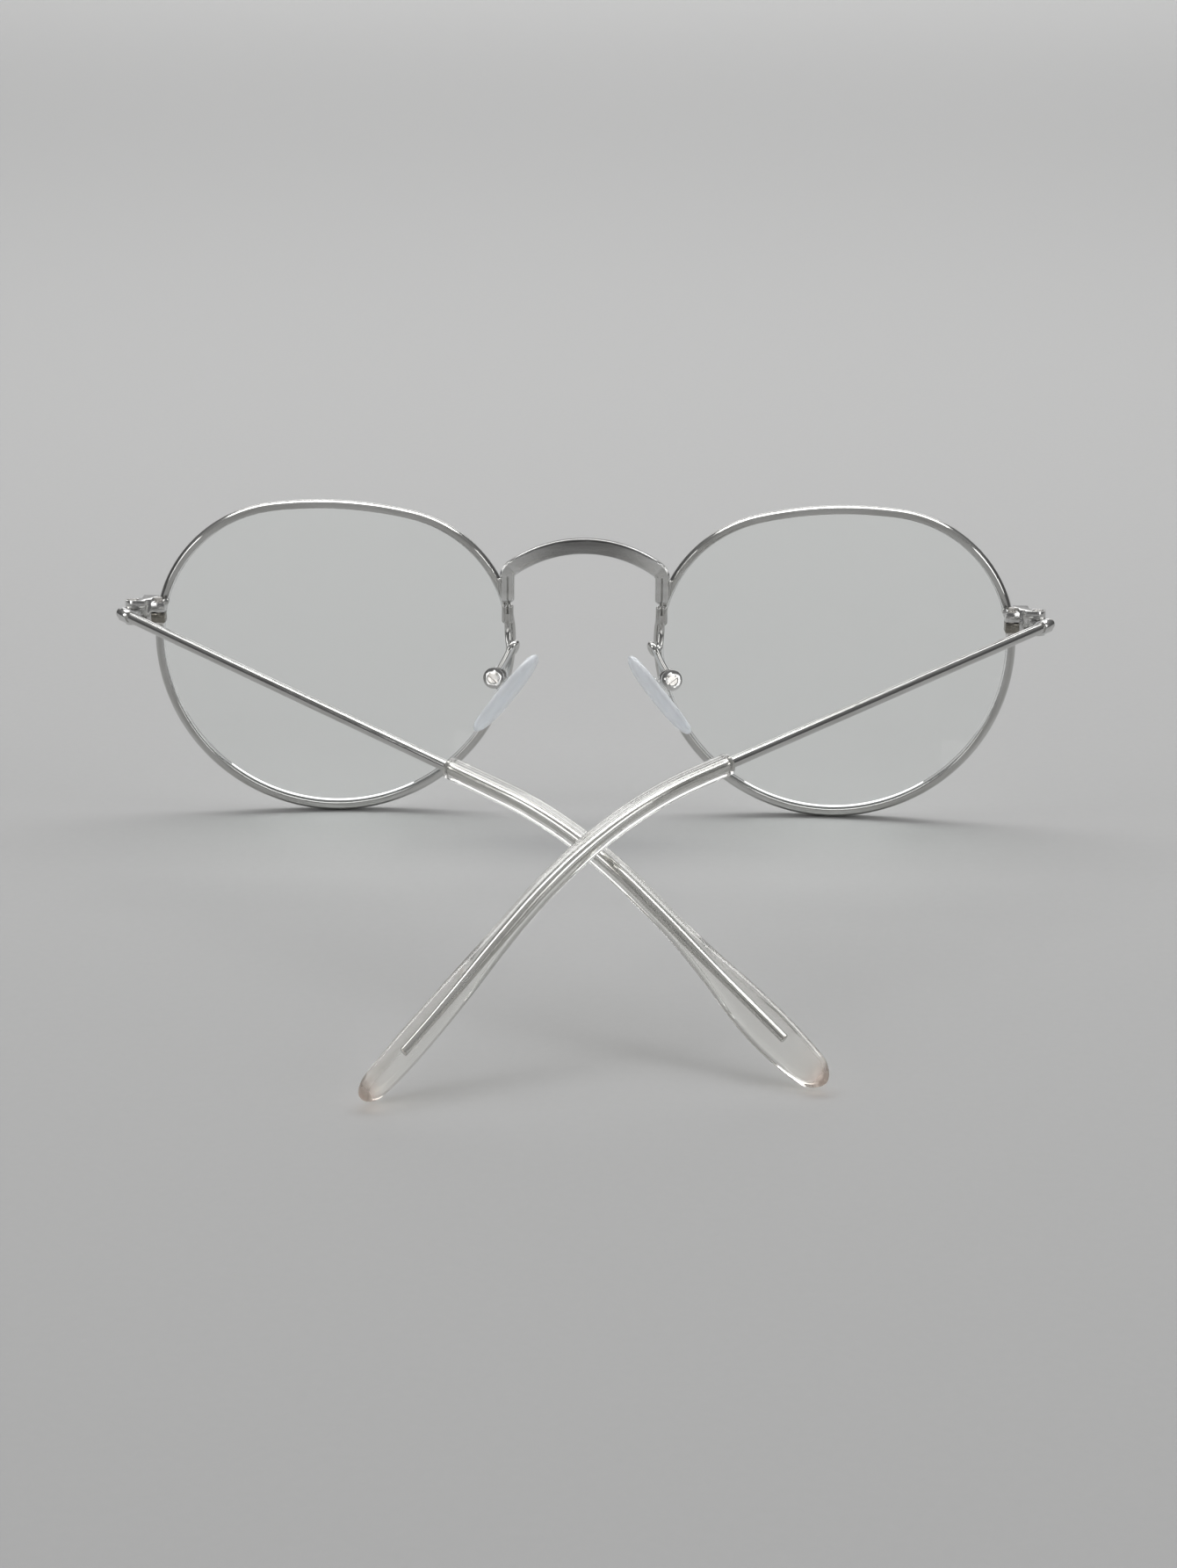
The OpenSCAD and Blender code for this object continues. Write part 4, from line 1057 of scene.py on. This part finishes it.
def moulded_tip():
    """Sleeve that widens to a paddle along its line, which carries along and up."""
    tree, keys, given = new_tree("moulded_tip", {
        "Tube": "Float", "Breadth": "Float", "Thickness": "Float", "Drop": "Float",
        "Roll": "Float", "Length": "Float", "Widening": "Float", "End Radius": "Float",
        "Narrowing": "Float", "Sides": "Int", "Material": "Material"})

    def calc(operation, a, b=0.0):
        return put(tree, "ShaderNodeMath", {0: a, 1: b}, operation=operation).outputs[0]

    def kept(name, data_type="FLOAT"):
        found = put(tree, "GeometryNodeInputNamedAttribute", {"Name": name}, data_type=data_type)
        return found.outputs["Attribute"]

    line = put(tree, "GeometryNodeMeshToCurve", {"Mesh": given["Geometry"]})
    level = put(tree, "GeometryNodeSetCurveNormal", {"Curve": line.outputs["Curve"]}, mode="Z_UP")
    spot = put(tree, "GeometryNodeInputPosition").outputs[0]
    path = stored(tree, level.outputs["Curve"], "centre", spot, "FLOAT_VECTOR")
    circle = put(tree, "GeometryNodeCurvePrimitiveCircle", {
        "Resolution": given["Sides"], "Radius": 1.0})
    ring = stored(tree, circle.outputs["Curve"], "ring", spot, "FLOAT_VECTOR")
    body = put(tree, "GeometryNodeCurveToMesh", {
        "Curve": path, "Profile Curve": ring, "Fill Caps": True})

    along = kept("along")
    round_from = calc("SUBTRACT", given["Length"], given["End Radius"])
    widen_from = calc("SUBTRACT", given["Length"], given["Widening"])
    narrow_from = calc("SUBTRACT", given["Length"], given["Narrowing"])
    widen = put(tree, "ShaderNodeMapRange", {
        "Value": along, "From Min": widen_from, "From Max": narrow_from},
        interpolation_type="SMOOTHSTEP").outputs["Result"]
    past = put(tree, "ShaderNodeMapRange", {
        "Value": along, "From Min": round_from, "From Max": given["Length"]}).outputs["Result"]
    cap = calc("SQRT", calc("SUBTRACT", 1.0, calc("MULTIPLY", past, past)))
    lip = put(tree, "ShaderNodeMapRange", {
        "Value": along, "From Max": lip_l, "To Min": 0.86},
        interpolation_type="SMOOTHERSTEP").outputs["Result"]
    tube = calc("MULTIPLY", given["Tube"], 0.5)
    cap = calc("MULTIPLY", cap, lip)

    def half(size):
        wide = calc("MULTIPLY", size, 0.5)
        return put(tree, "ShaderNodeMapRange", {
            "Value": widen, "To Min": tube, "To Max": wide}).outputs["Result"]

    down = put(tree, "ShaderNodeMapRange", {
        "Value": along, "From Min": narrow_from, "From Max": given["Length"],
        "To Max": narrow_to}).outputs["Result"]
    narrow = calc("SQRT", calc("SUBTRACT", 1.0, calc("MULTIPLY", down, down)))
    wide = half(given["Breadth"])
    half_w = calc("MULTIPLY", calc("MULTIPLY", wide, cap), narrow)
    lost = calc("MULTIPLY", wide, calc("SUBTRACT", 1.0, narrow))
    lifted = calc("MULTIPLY", lost, narrow_lift)
    half_t = calc("MULTIPLY", half(given["Thickness"]), calc("POWER", cap, flat_end))
    on_ring = put(tree, "ShaderNodeSeparateXYZ", {"Vector": kept("ring", "FLOAT_VECTOR")})
    y = calc("MULTIPLY", on_ring.outputs["X"], half_t)
    z = calc("SUBTRACT", calc("MULTIPLY", on_ring.outputs["Y"], half_w),
             calc("SUBTRACT", calc("MULTIPLY", given["Drop"], widen), lifted))
    flat = put(tree, "ShaderNodeCombineXYZ", {"Y": y, "Z": z})
    roll = calc("MULTIPLY", calc("MULTIPLY", given["Roll"], widen), -1.0)
    rolled = put(tree, "ShaderNodeVectorRotate", {"Vector": flat.outputs[0], "Angle": roll},
                 rotation_type="X_AXIS")
    parts = put(tree, "ShaderNodeSeparateXYZ", {"Vector": rolled.outputs[0]})
    raised = put(tree, "ShaderNodeVectorMath", {0: kept("up", "FLOAT_VECTOR")}, operation="SCALE")
    tree.links.new(parts.outputs["Z"], raised.inputs["Scale"])
    sideways = put(tree, "ShaderNodeCombineXYZ", {"Y": parts.outputs["Y"]})
    moved = put(tree, "ShaderNodeVectorMath", {0: raised.outputs[0], 1: sideways.outputs[0]},
                operation="ADD")
    final = put(tree, "ShaderNodeVectorMath", {
        0: kept("centre", "FLOAT_VECTOR"), 1: moved.outputs[0]}, operation="ADD")
    shaped = put(tree, "GeometryNodeSetPosition", {
        "Geometry": body.outputs["Mesh"], "Position": final.outputs[0]})
    end_tree(tree, shaped.outputs["Geometry"], given["Material"])
    return tree, keys


def tip_line(bend):
    """Line of the tip with its distances and upward directions."""
    body = tip_l - end_r
    stations = [0.0, 0.04, 0.1, 0.16, lip_l]
    stations += [lip_l + (body - lip_l) * k / 90 for k in range(1, 91)]
    stations += [body + end_r * sin(radians(89 * k / 18)) for k in range(1, 19)]
    found = [arm_station(sleeve_at + q, bend) for q in stations]
    mesh = new_mesh("line", [p for p, up in found], chain(len(found)))
    mesh.attributes.new("along", "FLOAT", "POINT").data.foreach_set("value", stations)
    ups = [c for p, up in found for c in up]
    mesh.attributes.new("up", "FLOAT_VECTOR", "POINT").data.foreach_set("vector", ups)
    return mesh


def tip_finish():
    """Clear acetate with lengthwise flow marks, tinted and dulled towards its aged end."""
    material, tree, surface = new_finish("clear_acetate")
    along = put(tree, "ShaderNodeAttribute", attribute_name="along")
    age = put(tree, "ShaderNodeValToRGB")
    aged = put(tree, "ShaderNodeMapRange", {
        "Value": along.outputs["Fac"], "From Min": tip_l - aged_l, "From Max": tip_l})
    tree.links.new(aged.outputs["Result"], age.inputs["Fac"])
    steps = age.color_ramp.elements
    steps[0].position, steps[0].color = 0.0, (0.985, 0.98, 0.955, 1)
    steps[1].position, steps[1].color = 1.0, (0.93, 0.70, 0.58, 1)
    middle = steps.new(0.62)
    middle.color = (0.975, 0.95, 0.91, 1)
    ring = put(tree, "ShaderNodeAttribute", attribute_name="ring")
    streak = put(tree, "ShaderNodeCombineXYZ", {"Z": along.outputs["Fac"]})
    long = put(tree, "ShaderNodeVectorMath", {0: streak.outputs[0], 1: (1, 1, 0.05)},
               operation="MULTIPLY")
    follows = put(tree, "ShaderNodeVectorMath", {0: ring.outputs["Vector"], 1: long.outputs[0]},
                  operation="ADD")
    touch = use(tree, handling, Vector=follows.outputs[0], Scale=1.6, Clean=0.0,
                Smeared=0.03, Tint=(1, 1, 1, 1), Smear_Tint=(0.985, 0.98, 0.97, 1))
    tint = put(tree, "ShaderNodeMix", {
        "Factor": 1.0, "A": age.outputs["Color"], "B": touch["Color"]},
        data_type="RGBA", blend_type="MULTIPLY")
    ripple = put(tree, "ShaderNodeBump", {
        "Height": touch["Height"], "Strength": 0.035, "Distance": 0.0001})
    frosted = put(tree, "ShaderNodeMath", {0: aged.outputs["Result"], 1: 3.0}, operation="POWER")
    dull = put(tree, "ShaderNodeMath", {
        0: frosted.outputs[0], 1: 0.4, 2: touch["Roughness"]}, operation="MULTIPLY_ADD")
    surface.inputs["Transmission Weight"].default_value = 0.9
    surface.inputs["IOR"].default_value = 1.47
    tree.links.new(tint.outputs["Result"], surface.inputs["Base Color"])
    tree.links.new(dull.outputs[0], surface.inputs["Roughness"])
    tree.links.new(ripple.outputs["Normal"], surface.inputs["Normal"])
    let_light_through(tree, surface, (0.72, 0.71, 0.69))
    return material


def make_tips():
    clear_acetate = tip_finish()
    tree, keys = moulded_tip()
    for side in sides:
        bend, roll = arms[side][2:]
        mesh = grown(side + "_clear_tip", tip_line(bend), tree, keys, Tube=tube_d,
                     Breadth=paddle_w + fuller, Thickness=paddle_t, Drop=paddle_drop + lower,
                     Roll=radians(roll), Length=tip_l, Widening=paddle_l, Narrowing=narrow_l,
                     End_Radius=end_r, Sides=48, Material=clear_acetate)
        set_down(side + "_clear_tip", mesh, wire_frame(side), side + "_temple", "clear_plastic",
                 side + "_temple_tip", crease=50)


make_tips()
